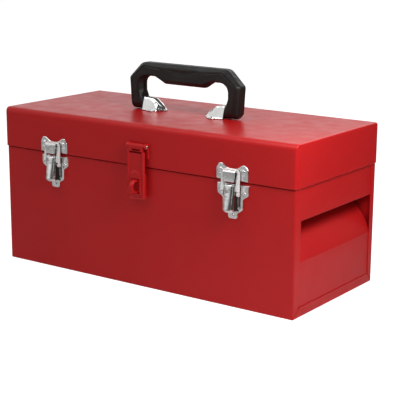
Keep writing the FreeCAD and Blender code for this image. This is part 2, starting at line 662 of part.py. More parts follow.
def hasp_strap():
    front, back = "-strap_front", "-(strap_front - strap_thick)"
    neck = "seam_height + strap_neck_rise"
    half = [("strap_half", "seam_height - strap_drop"), ("strap_half", neck),
            ("strap_neck", neck), ("strap_neck", "hasp_height")]
    flat = prism("strap_flat", "XZ_Plane", both_sides(half), front, back,
                 [((0, 7), "strap_corner"), ((1, 6), "plate_round")])
    boss_half = [("boss_half", "seam_height - boss_low_drop"),
                 ("boss_half", "seam_height - boss_top_drop")]
    boss = prism("strap_boss", "XZ_Plane", both_sides(boss_half), "-(strap_front + boss_high)",
                 front, [((1, 2), "boss_round")])
    pieces = [flat, boss]
    for side, x in (("a", ("-rib_out", "-rib_in")), ("b", ("rib_in", "rib_out"))):
        pieces.append(block(f"strap_rib_{side}", x, ("-(strap_front + rib_high)", front),
                            ("seam_height - boss_low_drop", f"{neck} - strap_thick")))
    pieces.append(rod("strap_barrel", "hasp_barrel", ("-strap_neck", "strap_neck"), "-hasp_out",
                      "hasp_height"))
    bore = rod("strap_bore", "hasp_pin_radius + running_fit", ("-strap_half", "strap_half"),
               "-hasp_out", "hasp_height")
    through = ("-(strap_front + 2 * boss_high)", "-(strap_front - 2 * strap_thick)")
    slot = block("strap_slot", ("-slot_half", "slot_half"), through,
                 ("seam_height - slot_low_drop", "seam_height - slot_top_drop"))
    neck_slot = block("neck_slot", ("-neck_slot_half", "neck_slot_half"),
                      (through[0], f"{back} + running_fit"),
                      (f"{neck} + neck_slot_low", f"{neck} + neck_slot_high"))
    return cut("strap_drilled", fuse("strap_whole", *pieces), bore, slot, neck_slot)


def hasp_staple():
    face = "body_width / 2"
    y = (f"-({face} + staple_plate)", f"-{face}")
    centre = "seam_height - staple_centre_drop"
    plate = block("staple_flat", ("-staple_plate_half", "staple_plate_half"), y,
                  ("seam_height - staple_plate_low", "seam_height - staple_plate_top"))
    x = ("-staple_half", "staple_half")
    axis_y = f"-({face} + staple_out)"
    solid = fuse("staple_solid",
                 block("staple_legs", x, (axis_y, f"-{face} - staple_plate / 2"),
                       (f"{centre} - staple_outer", f"{centre} + staple_outer")),
                 rod("staple_tip", "staple_outer", x, axis_y, centre))
    wide = ("-2 * staple_half", "2 * staple_half")
    eye = fuse("staple_eye",
               block("staple_eye_flat", wide, (axis_y, f"-({face} + staple_plate)"),
                     (f"{centre} - staple_inner", f"{centre} + staple_inner")),
               rod("staple_eye_round", "staple_inner", wide, axis_y, centre))
    loop = cut("staple_loop", solid, eye)
    holes = [rivet_hole(f"staple_hole{i}", "0", y, z)
             for i, z in enumerate(staple_rivet_heights())]
    return cut("staple_drilled", fuse("staple_whole", plate, loop), *holes)


# Carrying handle, folding on pins that stand in two pressed horns

def handle_bracket():
    def horn(name, inset):
        low, top = "lid_top", f"lid_top + horn_top - {inset}"
        profile = [
            ("horn_end", low), ("horn_end", top), (f"horn_flat - {inset} / 2", top),
            (f"horn_toe + horn_slope * {inset}", "lid_top + horn_toe_rise"),
            (f"horn_toe + horn_slope * {inset}", low),
        ]
        side = prism(f"{name}_side", "XZ_Plane", profile, f"-(horn_half - {inset})",
                     f"horn_half - {inset}")
        half = [(f"horn_half - {inset}", low), (f"horn_half - {inset}", "lid_top + horn_shoulder"),
                (f"horn_crown - {inset} / 2", top)]
        arch = prism(f"{name}_arch", "YZ_Plane", both_sides(half), "horn_toe", "horn_end",
                     [((2, 3), f"horn_round - {inset}"), ((1, 4), f"horn_round - {inset}")])
        return common(name, side, arch)

    outer = horn("horn_outer", "0")
    inner = horn("horn_inner", "horn_wall")
    web = block("horn_web_gap", ("web_at", "web_at + web"), ("-horn_half", "horn_half"),
                ("lid_top", "lid_top + horn_top"))
    shell = cut("horn_shell", outer, cut("horn_hollow", inner, web))
    half = [("flange_toe", "flange_toe_half"), ("lobe_in", "flange_half"),
            ("lobe_out", "flange_half"), ("lobe_out + lobe_round", "flange_waist"),
            ("horn_end", "flange_waist")]
    outline = [(x, f"-({y})") for x, y in half] + list(reversed(half))
    flange = prism("horn_flange", "XY_Plane", outline, "lid_top", "lid_top + flange_thick",
                   [((0, 9), "flange_toe_round"), ((1, 2, 7, 8), "lobe_round")])
    bore = rod("horn_bore", "pivot_radius + running_fit", ("web_at - web", "horn_end + web"),
               "0", "handle_height")
    holes = [rivet_hole(f"horn_hole{i}", x, y, ("lid_top", "lid_top + flange_thick"))
             for i, (x, y) in enumerate(handle_rivet_spots()[2:])]
    return cut("horn_drilled", fuse("horn_whole", shell, flange), bore, *holes)


def handle_pins():
    right = rod("pin_handle", "pivot_radius", ("web_at", "leg_in + pin_depth"), "0",
                "handle_height")
    return group("pins_handle", [right, mirror("pin_handle_left", right)])


def handle_grip():
    low = "lid_top + leg_clear"
    foot = "lid_top + leg_foot_rise"
    shoulder, top = "lid_top + shoulder_rise", "lid_top + grip_top"
    half = [
        ("leg_in", low), ("leg_out - leg_chamfer", low), ("leg_out", foot),
        ("grip_out", shoulder), ("shoulder_in", top),
    ]
    points = half + [(f"-({x})", z) for x, z in reversed(half)]
    arch, palm = "lid_top + arch_rise", "lid_top + palm_rise"
    points += [("-leg_in", arch), ("-arch_in", arch), ("-palm_half", palm),
               ("palm_half", palm), ("arch_in", arch), ("leg_in", arch)]
    bow = prism("grip_bow", "XZ_Plane", points, "-grip_half", "grip_half",
                [((10, 15), "arch_radius"), ((2, 3, 4, 5, 6, 7), "grip_round"),
                 ((11, 12, 13, 14), "grip_round")])
    pad = bow.Tip
    faces = [f"Face{i}" for i, face in enumerate(pad.Shape.Faces, 1)
             if face.BoundBox.YLength < 1e-6]
    chamfer = bow.newObject("PartDesign::Chamfer", "grip_chamfers")
    chamfer.Base = (pad, faces)
    chamfer.setExpression("Size", formula("grip_chamfer"))
    doc.recompute()
    # the feet are round about the pins, so that they clear the lid as the handle folds
    wide = ("-2 * grip_out", "2 * grip_out")
    keep = fuse("grip_keep",
                block("grip_above", wide, ("-grip_half", "grip_half"),
                      ("handle_height", f"{top} + sheet")),
                rod("grip_feet", "grip_half", wide, "0", "handle_height"))
    bore = rod("grip_bore", "pivot_radius + running_fit",
               ("leg_in - sheet", "leg_in + pin_depth + horn_gap"), "0", "handle_height")
    other = mirror("grip_bore_left", bore)
    return cut("grip_bored", common("grip_trimmed", bow, keep), bore, other)


# Lift-out tray, hung by its end lips on the shelves above the finger grips

def tray_tub():
    outer = block("tub_outer", ("-tray_half", "tray_half"), ("-tray_side", "tray_side"),
                  ("tray_floor", "tray_rim"))
    inside = ("-(tray_half - sheet)", "tray_half - sheet")
    inner = block("tub_inner", inside, ("-(tray_side - sheet)", "tray_side - sheet"),
                  ("tray_floor + sheet", "tray_rim + sheet"))
    lip = block("tub_lip", ("tray_half - sheet", "tray_half + lip_reach"),
                ("-lip_half", "lip_half"), ("tray_rim - sheet", "tray_rim"))
    return fuse("tub_whole", cut("tub_shell", outer, inner), lip, mirror("tub_lip_left", lip))


def tray_divider():
    top, hump = "tray_rim", "tray_rim + divider_hump"
    floor, end = "tray_floor + sheet", "tray_half - sheet"
    half = [(end, floor), (end, top), ("hump_half", top), ("hump_top_half", hump)]
    plate = prism("divider_plate", "XZ_Plane", both_sides(half), "-sheet / 2", "sheet / 2",
                  [((2, 5), "grip_slot_round"), ((3, 4), "grip_slot_round")])
    slot_half = [("grip_slot_half", "grip_slot_low"), ("grip_slot_half", "grip_slot_high")]
    slot = prism("divider_slot", "XZ_Plane", both_sides(slot_half), "-sheet", "sheet",
                 [((0, 1, 2, 3), "grip_slot_round")])
    return cut("divider_cut", plate, slot)


def rivet_groups():
    body_front, lid_front = "-body_width / 2", "-lid_width / 2"
    spots = body_rivet_spots()
    rows = (
        ("latch_base_rivets", spots[:6], f"{body_front} - plate", f"{body_front} + sheet"),
        ("staple_rivets", spots[6:], f"{body_front} - staple_plate", f"{body_front} + sheet"),
        ("keeper_rivets", keeper_rivet_spots(), f"{lid_front} - plate", f"{lid_front} + sheet"),
        ("hasp_rivets", hasp_rivet_spots(), f"{lid_front} - bracket_plate",
         f"{lid_front} + sheet"),
    )
    for label, places, face, back in rows:
        made = [rivet(f"{label}_{i}", x, "", z, face, back, ("y", -1))
                for i, (x, z) in enumerate(places)]
        node(group(label + "_group", made), label)
    made = [rivet(f"handle_rivet_{i}", x, y, "", "lid_top + flange_thick", "lid_top - sheet",
                  ("z", 1)) for i, (x, y) in enumerate(handle_rivet_spots())]
    node(group("handle_rivets_group", made), "handle_rivets")


def build():
    make_sheet()
    node(body_wrap(), "body_wrap")
    node_pair(end_panel, "end_panel")
    node_pair(grip_rail, "grip_rail")
    node(lid_shell(), "lid_shell")
    node(hinge_leaf_body(), "hinge_leaf_body")
    node(hinge_leaf_lid(), "hinge_leaf_lid")
    node(hinge_pin(), "hinge_pin")
    node_pair(latch_base, "latch_base")
    node_pair(lever_pin, "lever_pin")
    node_pair(latch_lever, "latch_lever")
    node_pair(bail_pin, "bail_pin")
    node_pair(latch_bail, "latch_bail")
    node_pair(latch_keeper, "latch_keeper")
    node(hasp_bracket(), "hasp_bracket")
    node(hasp_pin(), "hasp_pin")
    node(hasp_strap(), "hasp_strap")
    node(hasp_staple(), "hasp_staple")
    node_pair(handle_bracket, "handle_bracket")
    node(handle_pins(), "handle_pins")
    node(handle_grip(), "handle_grip")
    node(tray_tub(), "tray_tub")
    node(tray_divider(), "tray_divider")
    rivet_groups()
    doc.recompute()


def check():
    for item in doc.Objects:
        if {"Invalid", "Error"} & set(item.State):
            raise RuntimeError(f"{item.Label} failed: {item.State}")
    for item in nodes:
        shape = item.Shape
        if shape.isNull() or not shape.isValid() or not shape.Solids:
            raise RuntimeError(f"{item.Label} has no valid solid")


build()
check()
os.makedirs("parts", exist_ok=True)
for item in nodes:
    item.Shape.exportStep(f"parts/{item.Label}.step")
    print(item.Label, len(item.Shape.Solids), round(item.Shape.Volume, 1))
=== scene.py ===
import json
import math
import bmesh
import bpy
import numpy as np
from mathutils import Matrix, Vector


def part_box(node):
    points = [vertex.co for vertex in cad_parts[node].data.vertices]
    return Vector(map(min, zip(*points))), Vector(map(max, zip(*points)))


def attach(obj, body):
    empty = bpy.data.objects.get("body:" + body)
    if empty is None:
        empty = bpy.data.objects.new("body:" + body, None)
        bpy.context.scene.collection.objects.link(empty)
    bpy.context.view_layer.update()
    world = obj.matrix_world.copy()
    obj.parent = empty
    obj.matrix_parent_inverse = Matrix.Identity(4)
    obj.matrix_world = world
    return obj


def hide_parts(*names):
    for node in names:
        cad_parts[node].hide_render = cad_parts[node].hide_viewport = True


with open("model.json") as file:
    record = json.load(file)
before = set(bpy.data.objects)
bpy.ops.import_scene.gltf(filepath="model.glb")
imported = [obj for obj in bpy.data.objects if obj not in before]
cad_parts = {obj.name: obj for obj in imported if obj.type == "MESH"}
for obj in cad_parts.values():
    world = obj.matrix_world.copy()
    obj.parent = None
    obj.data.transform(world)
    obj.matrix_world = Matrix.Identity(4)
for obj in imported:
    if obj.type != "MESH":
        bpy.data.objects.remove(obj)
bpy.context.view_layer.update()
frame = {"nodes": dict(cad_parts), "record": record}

# Sheet-steel toolbox: red enamelled box and lid, bright latches, black carrying handle.
# +X to the right, -Y towards the front, +Z up. The stage is in metres; the values of the pieces
# are in millimetres.

view = {
    "place": (0.80030, -1.09930, 0.41020),
    "right": (0.81847, 0.57450, 0.00744),
    "up": (-0.14363, 0.19206, 0.97082),
    "lens": 102.65, "sensor": 36.0,
}


def makeCamera(v):
    data = bpy.data.cameras.new("camera")
    data.lens = v["lens"]
    data.sensor_width = v["sensor"]
    data.clip_start = 0.05
    data.clip_end = 30
    camera = bpy.data.objects.new("camera", data)
    right, up = Vector(v["right"]).normalized(), Vector(v["up"])
    back = right.cross(up).normalized()
    up = back.cross(right)
    turn = Matrix((right, up, back)).transposed().to_4x4()
    camera.matrix_world = Matrix.Translation(v["place"]) @ turn
    bpy.context.scene.collection.objects.link(camera)
    bpy.context.scene.camera = camera


def makeLamp(name, place, aim, width, power):
    data = bpy.data.lights.new(name, "AREA")
    data.shape = "RECTANGLE"
    data.size = data.size_y = width
    data.energy = power
    lamp = bpy.data.objects.new(name, data)
    lamp.visible_camera = False
    lamp.location = place
    lamp.rotation_euler = (Vector(aim) - Vector(place)).to_track_quat("-Z", "Y").to_euler()
    bpy.context.scene.collection.objects.link(lamp)


studio = {
    "ambient": 0.20, "dim": 0.08,
    # screens, each as (direction, cosines where it begins and is full, brightness)
    "screens": (((-0.59, 0.81, 0), 0.45, 0.8, 0.9), ((-0.75, -0.45, 0.48), 0.45, 0.85, 0.8)),
    "floorHalf": 6.0, "floorDrop": 0.0002, "floorColour": 0.8, "floorFar": 0.05,
    "floorLift": 0.84, "near": 0.28, "far": 0.48, "dark": (0.95, 0.3, 0),
    "floorInputs": {"Roughness": 0.9, "Specular IOR Level": 0.1, "Emission Color": (1, 1, 1, 1)},
    # lamps, each as (name, place, aim, width, power)
    "lamps": (("keyLamp", (0.43, -0.17, 0.42), (0.18, -0.05, 0.12), 0.18, 1.45),
              ("topLamp", (-0.35, -0.65, 1.4), (0, 0, 0.1), 0.9, 5.6),
              ("rearLamp", (0.05, 1.3, 1.1), (0, 0, 0.1), 0.9, 4.0)),
}


def added(tree, kind, output, inputs=(), **attributes):
    # one shader node, its inputs fed by plain values or by other nodes' outputs
    node = tree.nodes.new("ShaderNode" + kind)
    for name, value in attributes.items():
        setattr(node, name, value)
    for name, value in dict(inputs).items():
        if isinstance(value, bpy.types.NodeSocket):
            tree.links.new(value, node.inputs[name])
        else:
            node.inputs[name].default_value = value
    return node.outputs[output]


def maths(tree, operation, *values):
    return added(tree, "Math", 0, enumerate(values), operation=operation)


def towards(tree, space, direction):
    # how far a place, or how much a ray of light, lies in a direction
    vectors = {0: added(tree, "TexCoord", space), 1: direction}
    return added(tree, "VectorMath", "Value", vectors, operation="DOT_PRODUCT")


def noise(tree, scale, detail):
    return added(tree, "TexNoise", "Fac", {"Scale": scale, "Detail": detail,
                                           "Vector": added(tree, "TexCoord", "Object")})


def ranged(tree, value, low, high, fromLow=0.3, fromHigh=0.7):
    return added(tree, "MapRange", "Result", {"Value": value, "From Min": fromLow,
                                              "From Max": fromHigh, "To Min": low, "To Max": high})


def mixed(tree, value, first, second):
    return added(tree, "Mix", "Result", {"Factor": value, "A": first + (1,), "B": second + (1,)},
                 data_type="RGBA")


def makeWorld(s):
    # white to the camera, even and dim to soft rays, and a room with pale screens in reflections
    world = bpy.data.worlds.new("studio")
    bpy.context.scene.world = world
    world.use_nodes = True
    tree = world.node_tree
    sky = tree.nodes["Background"]
    ray = tree.nodes.new("ShaderNodeLightPath").outputs
    # one screen stands behind the box and one over its front left
    screens = [ranged(tree, towards(tree, "Generated", facing), s["dim"], level, start, end)
               for facing, start, end, level in s["screens"]]
    room = maths(tree, "MAXIMUM", *screens)
    glossy = maths(tree, "MULTIPLY", ray["Is Glossy Ray"], room)
    level = maths(tree, "MAXIMUM", glossy, ray["Is Camera Ray"])
    soft = maths(tree, "MULTIPLY", maths(tree, "SUBTRACT", 1, ray["Is Glossy Ray"]), s["ambient"])
    tree.links.new(maths(tree, "MAXIMUM", level, soft), sky.inputs["Strength"])
    sky.inputs["Color"].default_value = (1, 1, 1, 1)


def makeFloor(s):
    mesh = bpy.data.meshes.new("floor")
    r = s["floorHalf"]
    mesh.from_pydata([(-r, -r, 0), (r, -r, 0), (r, r, 0), (-r, r, 0)], [], [(0, 1, 2, 3)])
    floor = bpy.data.objects.new("floor", mesh)
    floor.location.z = -s["floorDrop"]
    bpy.context.scene.collection.objects.link(floor)
    paint = bpy.data.materials.new("paleFloor")
    paint.use_nodes = True
    tree = paint.node_tree
    shader = tree.nodes["Principled BSDF"]
    for socket, value in s["floorInputs"].items():
        shader.inputs[socket].default_value = value
    ray = tree.nodes.new("ShaderNodeLightPath").outputs
    # pale all over; in reflections it is greyer and falls off towards one side
    fade = ranged(tree, towards(tree, "Object", s["dark"]), 0, 1, s["near"], s["far"])
    dim = maths(tree, "MULTIPLY", fade, ray["Is Glossy Ray"])
    tree.links.new(mixed(tree, dim, (s["floorColour"],) * 3, (s["floorFar"],) * 3),
                   shader.inputs["Base Color"])
    tree.links.new(maths(tree, "MULTIPLY", ray["Is Camera Ray"], s["floorLift"]),
                   shader.inputs["Emission Strength"])
    mesh.materials.append(paint)


makeCamera(view)
makeWorld(studio)
makeFloor(studio)
for lamp in studio["lamps"]:
    makeLamp(*lamp)
bpy.context.scene.view_settings.view_transform = "Standard"
print("stage ready")


# finishes by material slot: two colours mixed by a cloud of the given scale, roughness as
# (scale, detail, low, high), and bumps one over the other as (scale, detail, strength, distance)
finishTable = {
    "red_enamel": {
        "name": "redEnamel", "fixed": {"Specular IOR Level": 0.26}, "cloud": 9.0,
        "colours": ((0.57, 0.0105, 0.012), (0.61, 0.0125, 0.014)),
        "rough": (60.0, 3.0, 0.30, 0.40),
        "bumps": ((420.0, 1.0, 0.08, 0.0003), (5.0, 0.0, 0.1, 0.0003))},
    "bright_plate": {
        "name": "brightPlate", "fixed": {"Metallic": 1.0}, "cloud": 90.0,
        "colours": ((0.74, 0.74, 0.73), (0.86, 0.86, 0.85)),
        "rough": (240.0, 4.0, 0.10, 0.22), "bumps": ((190.0, 2.0, 0.8, 0.0005),)},
    "pin_steel": {
        "name": "pinSteel", "fixed": {"Metallic": 1.0}, "cloud": 160.0,
        "colours": ((0.45, 0.45, 0.46), (0.62, 0.62, 0.61)),
        "rough": (500.0, 3.0, 0.28, 0.45), "bumps": ((900.0, 2.0, 0.2, 0.0002),)},
    # black plastic of the handle; the same finish is also painted shade on the latch levers' side
    # walls and in the handle brackets' slots
    "black_grip": {
        "name": "blackGripAndShade", "fixed": {"Specular IOR Level": 0.35}, "cloud": 70.0,
        "colours": ((0.009, 0.009, 0.008), (0.017, 0.017, 0.015)),
        "rough": (260.0, 3.0, 0.38, 0.52), "bumps": ((1500.0, 2.0, 0.25, 0.0002),)},
    # a paler look of bright_plate, for the arms of the bails: painted light, standing in for the
    # lamp light on their sides
    "painted_light": {
        "name": "paintedLightPlate", "fixed": {"Metallic": 0.2}, "cloud": 90.0,
        "colours": ((0.87, 0.87, 0.86), (0.99, 0.99, 0.98)),
        "rough": (240.0, 4.0, 0.10, 0.22), "bumps": ((190.0, 2.0, 0.3, 0.0005),)},
}


def makeFinish(f):
    material = bpy.data.materials.new(f["name"])
    material.use_nodes = True
    tree = material.node_tree
    shader = tree.nodes["Principled BSDF"]
    for socket, value in f["fixed"].items():
        shader.inputs[socket].default_value = value
    cloud = ranged(tree, noise(tree, f["cloud"], 3.0), 0, 1)
    tree.links.new(mixed(tree, cloud, *f["colours"]), shader.inputs["Base Color"])
    scale, detail, low, high = f["rough"]
    tree.links.new(ranged(tree, noise(tree, scale, detail), low, high), shader.inputs["Roughness"])
    under = {}
    for scale, detail, strength, distance in f["bumps"]:
        height = {"Strength": strength, "Distance": distance, "Height": noise(tree, scale, detail)}
        under = {"Normal": added(tree, "Bump", "Normal", height | under)}
    tree.links.new(under["Normal"], shader.inputs["Normal"])
    return material


finishes = {slotName: makeFinish(f) for slotName, f in finishTable.items()}
nodeSlots = {row["node"]: row["material_slot"] for row in frame["record"]["subparts"]}
for nodeName, obj in frame["nodes"].items():
    for slotIndex in range(max(1, len(obj.material_slots))):
        if not obj.material_slots:
            obj.data.materials.append(finishes[nodeSlots[nodeName]])
        obj.material_slots[slotIndex].material = finishes[nodeSlots[nodeName]]
print("finishes ready")


mm = 0.001


def cornersOf(node):
    # a CAD node's lowest and highest corners, in millimetres
    low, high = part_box(node)
    return np.array(low) / mm, np.array(high) / mm


def gridFaces(rows, columns):
    # the squares of a grid of points joined round its columns
    r, c = np.meshgrid(np.arange(rows - 1), np.arange(columns), indexing="ij")
    d = (c + 1) % columns
    quads = [r * columns + c, r * columns + d, (r + 1) * columns + d, (r + 1) * columns + c]
    return np.stack(quads, -1).reshape(-1, 4)


def roundShell(grid):
    # a grid joined round its columns, each end row closed by a fan to its middle
    low = np.repeat(grid[:1].mean(1, keepdims=True), grid.shape[1], 1)
    high = np.repeat(grid[-1:].mean(1, keepdims=True), grid.shape[1], 1)
    grid = np.concatenate([low, grid, high])
    return grid.reshape(-1, 3), gridFaces(*grid.shape[:2])


def sheetShell(front, back, keep=None, around=False):
    # two skins over one grid, with a wall between them along every edge where kept squares end
    rows, columns = front.shape[:2]
    spans = columns if around else columns - 1
    keep = np.ones((rows - 1, spans), bool) if keep is None else keep
    first = np.arange(rows * columns).reshape(rows, columns)
    after = np.roll(first, -1, 1)
    a, b = first[:-1, :spans], after[:-1, :spans]
    d, c = first[1:, :spans], after[1:, :spans]
    other = rows * columns
    skin = np.stack([a, b, c, d], -1)[keep]
    faces = [skin, skin[:, ::-1] + other]
    wide = np.pad(keep, ((1, 1), (0, 0)))
    wide = np.pad(wide, ((0, 0), (1, 1)), mode="wrap" if around else "constant")
    sides = ((b, a, wide[:-2, 1:-1]), (c, b, wide[1:-1, 2:]), (d, c, wide[2:, 1:-1]),
             (a, d, wide[1:-1, :-2]))
    for start, end, neighbour in sides:
        edge = keep & ~neighbour
        s, e = start[edge], end[edge]
        faces.append(np.stack([s, e, e + other, s + other], -1))
    return np.concatenate([front.reshape(-1, 3), back.reshape(-1, 3)]), np.concatenate(faces)


def shellVolume(points, faces):
    p = points[faces]
    one = np.einsum("ij,ij->i", p[:, 0], np.cross(p[:, 1], p[:, 2]))
    two = np.einsum("ij,ij->i", p[:, 0], np.cross(p[:, 2], p[:, 3]))
    return (one + two).sum()


def makePiece(name, shells, slotName, body, replaced=(), sharp=30, look=None):
    # joins closed shells into one mesh with its faces outwards
    points, faces, start = [], [], 0
    for grid, quads in shells:
        if shellVolume(grid, quads) < 0:
            quads = quads[:, ::-1]
        points.append(grid)
        faces.append(quads + start)
        start += len(grid)
    mesh = bpy.data.meshes.new(name)
    mesh.from_pydata(np.concatenate(points) * mm, [], np.concatenate(faces))
    edit = bmesh.new()
    edit.from_mesh(mesh)
    bmesh.ops.remove_doubles(edit, verts=edit.verts, dist=2e-7)
    bmesh.ops.dissolve_degenerate(edit, edges=edit.edges, dist=1e-8)
    edit.to_mesh(mesh)
    edit.free()
    mesh.shade_smooth()
    mesh.set_sharp_from_angle(angle=math.radians(sharp))
    mesh.materials.append(finishes[look or slotName])
    obj = bpy.data.objects.new(name, mesh)
    bpy.context.scene.collection.objects.link(obj)
    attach(obj, body)
    if replaced:
        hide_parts(*replaced)
    return obj


def secondLook(obj, look, kind, chosen):
    # another finish for the faces chosen by the x of their normals or of their middles
    faces = obj.data.polygons
    values = np.empty(3 * len(faces))
    faces.foreach_get(kind, values)
    obj.data.materials.append(finishes[look])
    faces.foreach_set("material_index", chosen(values[::3]).astype(np.int32))


def arcsAt(p, before, beyond, radii, steps):
    # tangent arcs at corners p with neighbours before and beyond
    a, b = before - p, beyond - p
    la, lb = np.linalg.norm(a, axis=1, keepdims=True), np.linalg.norm(b, axis=1, keepdims=True)
    a, b = a / la, b / lb
    half = np.arccos(np.clip((a * b).sum(1, keepdims=True), -0.99999, 0.99999)) / 2
    reach = np.minimum(np.reshape(radii, (-1, 1)) / np.tan(half), 0.49 * np.minimum(la, lb))
    radius = reach * np.tan(half)
    middle = p + (a + b) / np.linalg.norm(a + b, axis=1, keepdims=True) * radius / np.sin(half)
    sweep = (np.pi - 2 * half)[:, None]
    s = np.linspace(0, 1, steps)[None, :, None]
    start, end = (p + a * reach - middle)[:, None], (p + b * reach - middle)[:, None]
    return middle[:, None] + (np.sin((1 - s) * sweep) * start + np.sin(s * sweep) * end) / np.sin(
        sweep)


def roundedLoop(corners, radii, steps=7):
    # a closed polygon with every corner rounded
    p = np.array(corners, float)
    radii = np.broadcast_to(radii, len(p))
    return arcsAt(p, np.roll(p, 1, 0), np.roll(p, -1, 0), radii, steps).reshape(-1, 2)


def roundedLine(corners, radii, steps=7):
    # an open run of straight pieces with its inner corners rounded
    p = np.array(corners, float)
    radii = np.broadcast_to(radii, len(p) - 2)
    arcs = arcsAt(p[1:-1], p[:-2], p[2:], radii, steps).reshape(-1, p.shape[1])
    return np.concatenate([p[:1], arcs, p[-1:]])


def evenly(line, count, closed=False):
    # the same line with its points at even steps of length
    if closed:
        line = np.concatenate([line, line[:1]])
    run = np.concatenate([[0], np.linalg.norm(np.diff(line, axis=0), axis=1).cumsum()])
    at = np.linspace(0, run[-1], count + 1)[:-1] if closed else np.linspace(0, run[-1], count)
    return np.stack([np.interp(at, run, line[:, k]) for k in range(line.shape[1])], 1)


def evenLoop(corners, radii, count, steps=7):
    return evenly(roundedLoop(corners, radii, steps), count, closed=True)


def arcPoints(across, up, radius, angles):
    return np.stack([across + radius * np.cos(angles), up + radius * np.sin(angles)], 1)


def rectangle(x0, y0, x1, y1):
    return [(x0, y0), (x1, y0), (x1, y1), (x0, y1)]


def sideways(line, closed=False):
    # unit vectors square to a flat line, to its left
    if closed:
        ahead = np.roll(line, -1, 0) - np.roll(line, 1, 0)
    else:
        ahead = np.gradient(line, axis=0)
    ahead /= np.linalg.norm(ahead, axis=1, keepdims=True)
    return np.stack([-ahead[:, 1], ahead[:, 0]], 1)


def step(value, low, high):
    # 0 below low, 1 above high and a smooth S between them
    t = np.clip((value - low) / (high - low), 0, 1)
    return t * t * (3 - 2 * t)


def mirrored(line):
    # an outline given from low to high on one side, closed with its mirror image
    line = np.array(line, float)
    return np.concatenate([line, line[::-1] * [-1, 1]])


def pressedPlate(outline, middle, thick, edge, relief, rings):
    # rows from the middle of the flat back, over a rounded rim, to the middle of the front;
    # columns follow the outline; returns outline plane positions and heights above the back
    inward = sideways(outline, closed=True)
    if ((inward * (middle - outline)).sum(1)).mean() < 0:
        inward = -inward
    turn = np.linspace(0, np.pi / 2, 4)[:, None, None]
    rim = outline + inward * edge * (1 - np.cos(turn))
    share = np.linspace(1, 0, rings + 1)[1:, None, None]
    face = middle + (rim[-1] - middle) * share
    flat = np.concatenate([middle + (outline - middle) * np.array([0, 0.5, 1])[:, None, None],
                           rim, face])
    height = np.zeros(flat.shape[:2])
    height[3:7] = thick - edge + edge * np.sin(turn[..., 0])
    height[7:] = thick
    if relief is not None:
        height[7:] += relief(flat[7:, :, 0], flat[7:, :, 1])
    return flat, height


def frontPlate(outline, middle, p, face, rings, cx=0, relief=None):
    # a pressed plate stood on a front face, which looks along -Y; its outline counts from the seam
    flat, height = pressedPlate(outline, middle, p["thick"], p["edge"], relief, rings)
    return roundShell(np.stack([flat[..., 0] + cx, -(face + height), flat[..., 1] + seam], -1))


def webPlate(outline, thick, edge, rings, x0):
    # a plate in a plane square to x, from x0 on; its outline counts outwards and up
    flat, height = pressedPlate(outline, outline.mean(0), thick, edge, None, rings)
    return roundShell(np.stack([x0 + height, -flat[..., 0], flat[..., 1]], -1))


def laid(line, xs):
    # a side line of (how far out, how high) swept along x, a row for every x
    grid = np.empty((len(xs), len(line), 3))
    grid[..., 0] = xs[:, None]
    grid[..., 1:] = line * [-1, 1]
    return grid


def tube(line, section):
    # a closed section, (along x, across), carried along a side line of (how far out, how high)
    path = np.stack([0 * line[:, 0], -line[:, 0], line[:, 1]], 1)
    ahead = np.gradient(path, axis=0)
    ahead /= np.linalg.norm(ahead, axis=1, keepdims=True)
    side = np.array([1.0, 0, 0])
    up = np.cross(side, ahead)
    return roundShell(path[:, None] + side * section[:, :1] + up[:, None] * section[:, 1:])


def dome(place, axis, radius, height):
    # a low round head standing on a plane: rows run up its rim and over a part of a ball
    axis = np.array(axis, float)
    across = np.cross(axis, [0.3, 0.5, 0.81])
    across /= np.linalg.norm(across)
    other = np.cross(axis, across)
    t = np.linspace(0, 1, 9)[1:]
    out = radius * np.cos(t * np.pi / 2) ** 0.75
    up = height * (0.18 + 0.82 * np.sin(t * np.pi / 2))
    rows = np.concatenate([[[radius * 0.97, 0]], np.stack([out, up], 1)])
    angle = np.linspace(0, 2 * np.pi, 28, endpoint=False)
    ring = across * np.cos(angle)[:, None] + other * np.sin(angle)[:, None]
    grid = np.array(place) + ring * rows[:, :1, None] + axis * rows[:, 1:, None]
    return roundShell(grid)


def roundedBox(halfA, halfB, radius):
    return roundedLoop(rectangle(-halfA, -halfB, halfA, halfB), radius, 4)


def rodAlongX(centre, radius, low, high, sides=28, edge=0.25):
    # a straight rod with softly rounded rims
    angle = np.linspace(0, 2 * np.pi, sides, endpoint=False)
    ends = [(low, radius - edge), (low + edge * 0.3, radius - edge * 0.3), (low + edge, radius),
            (high - edge, radius), (high - edge * 0.3, radius - edge * 0.3), (high, radius - edge)]
    x, r = np.array(ends).T[..., None]
    grid = np.stack([np.broadcast_to(x, (len(ends), sides)), centre[0] + r * np.cos(angle),
                     centre[1] + r * np.sin(angle)], -1)
    return roundShell(grid)


def axisOf(pin):
    # how far out and how high the axis of a crosswise CAD pin lies
    low, high = cornersOf(pin)
    return -(low[1] + high[1]) / 2, (low[2] + high[2]) / 2


def pinPiece(name, pin, body, radius, longer, head):
    # a rod as long as the CAD pin, with a low dome on each end
    low, high = cornersOf(pin)
    out, up = axisOf(pin)
    shells = [rodAlongX((-out, up), radius, low[0] - longer, high[0] + longer)]
    shells += [dome((x, -out, up), (sx, 0, 0), *head) for sx, x in ((-1, low[0]), (1, high[0]))]
    makePiece(name, shells, "pin_steel", body, [pin])


def rivetHeads(x, z, face, proud, head):
    # a head that stands on the plates outside and the low one behind the sheet
    return [dome((x, -(face + proud), z), (0, -1, 0), *head),
            dome((x, -(face - sheet), z), (0, 1, 0), *rivetTail)]


sheet = 1.0               # thickness of the box's sheet
rivetTail = (1.9, 0.9)    # radius and height of the rivet heads inside the box
lidLow, lidHigh = cornersOf("lid_shell")
seam, lidTop = lidLow[2], lidHigh[2]
# how far each front stands out from the middle
lidFace, bodyFace = -lidLow[1], -cornersOf("body_wrap")[0][1]

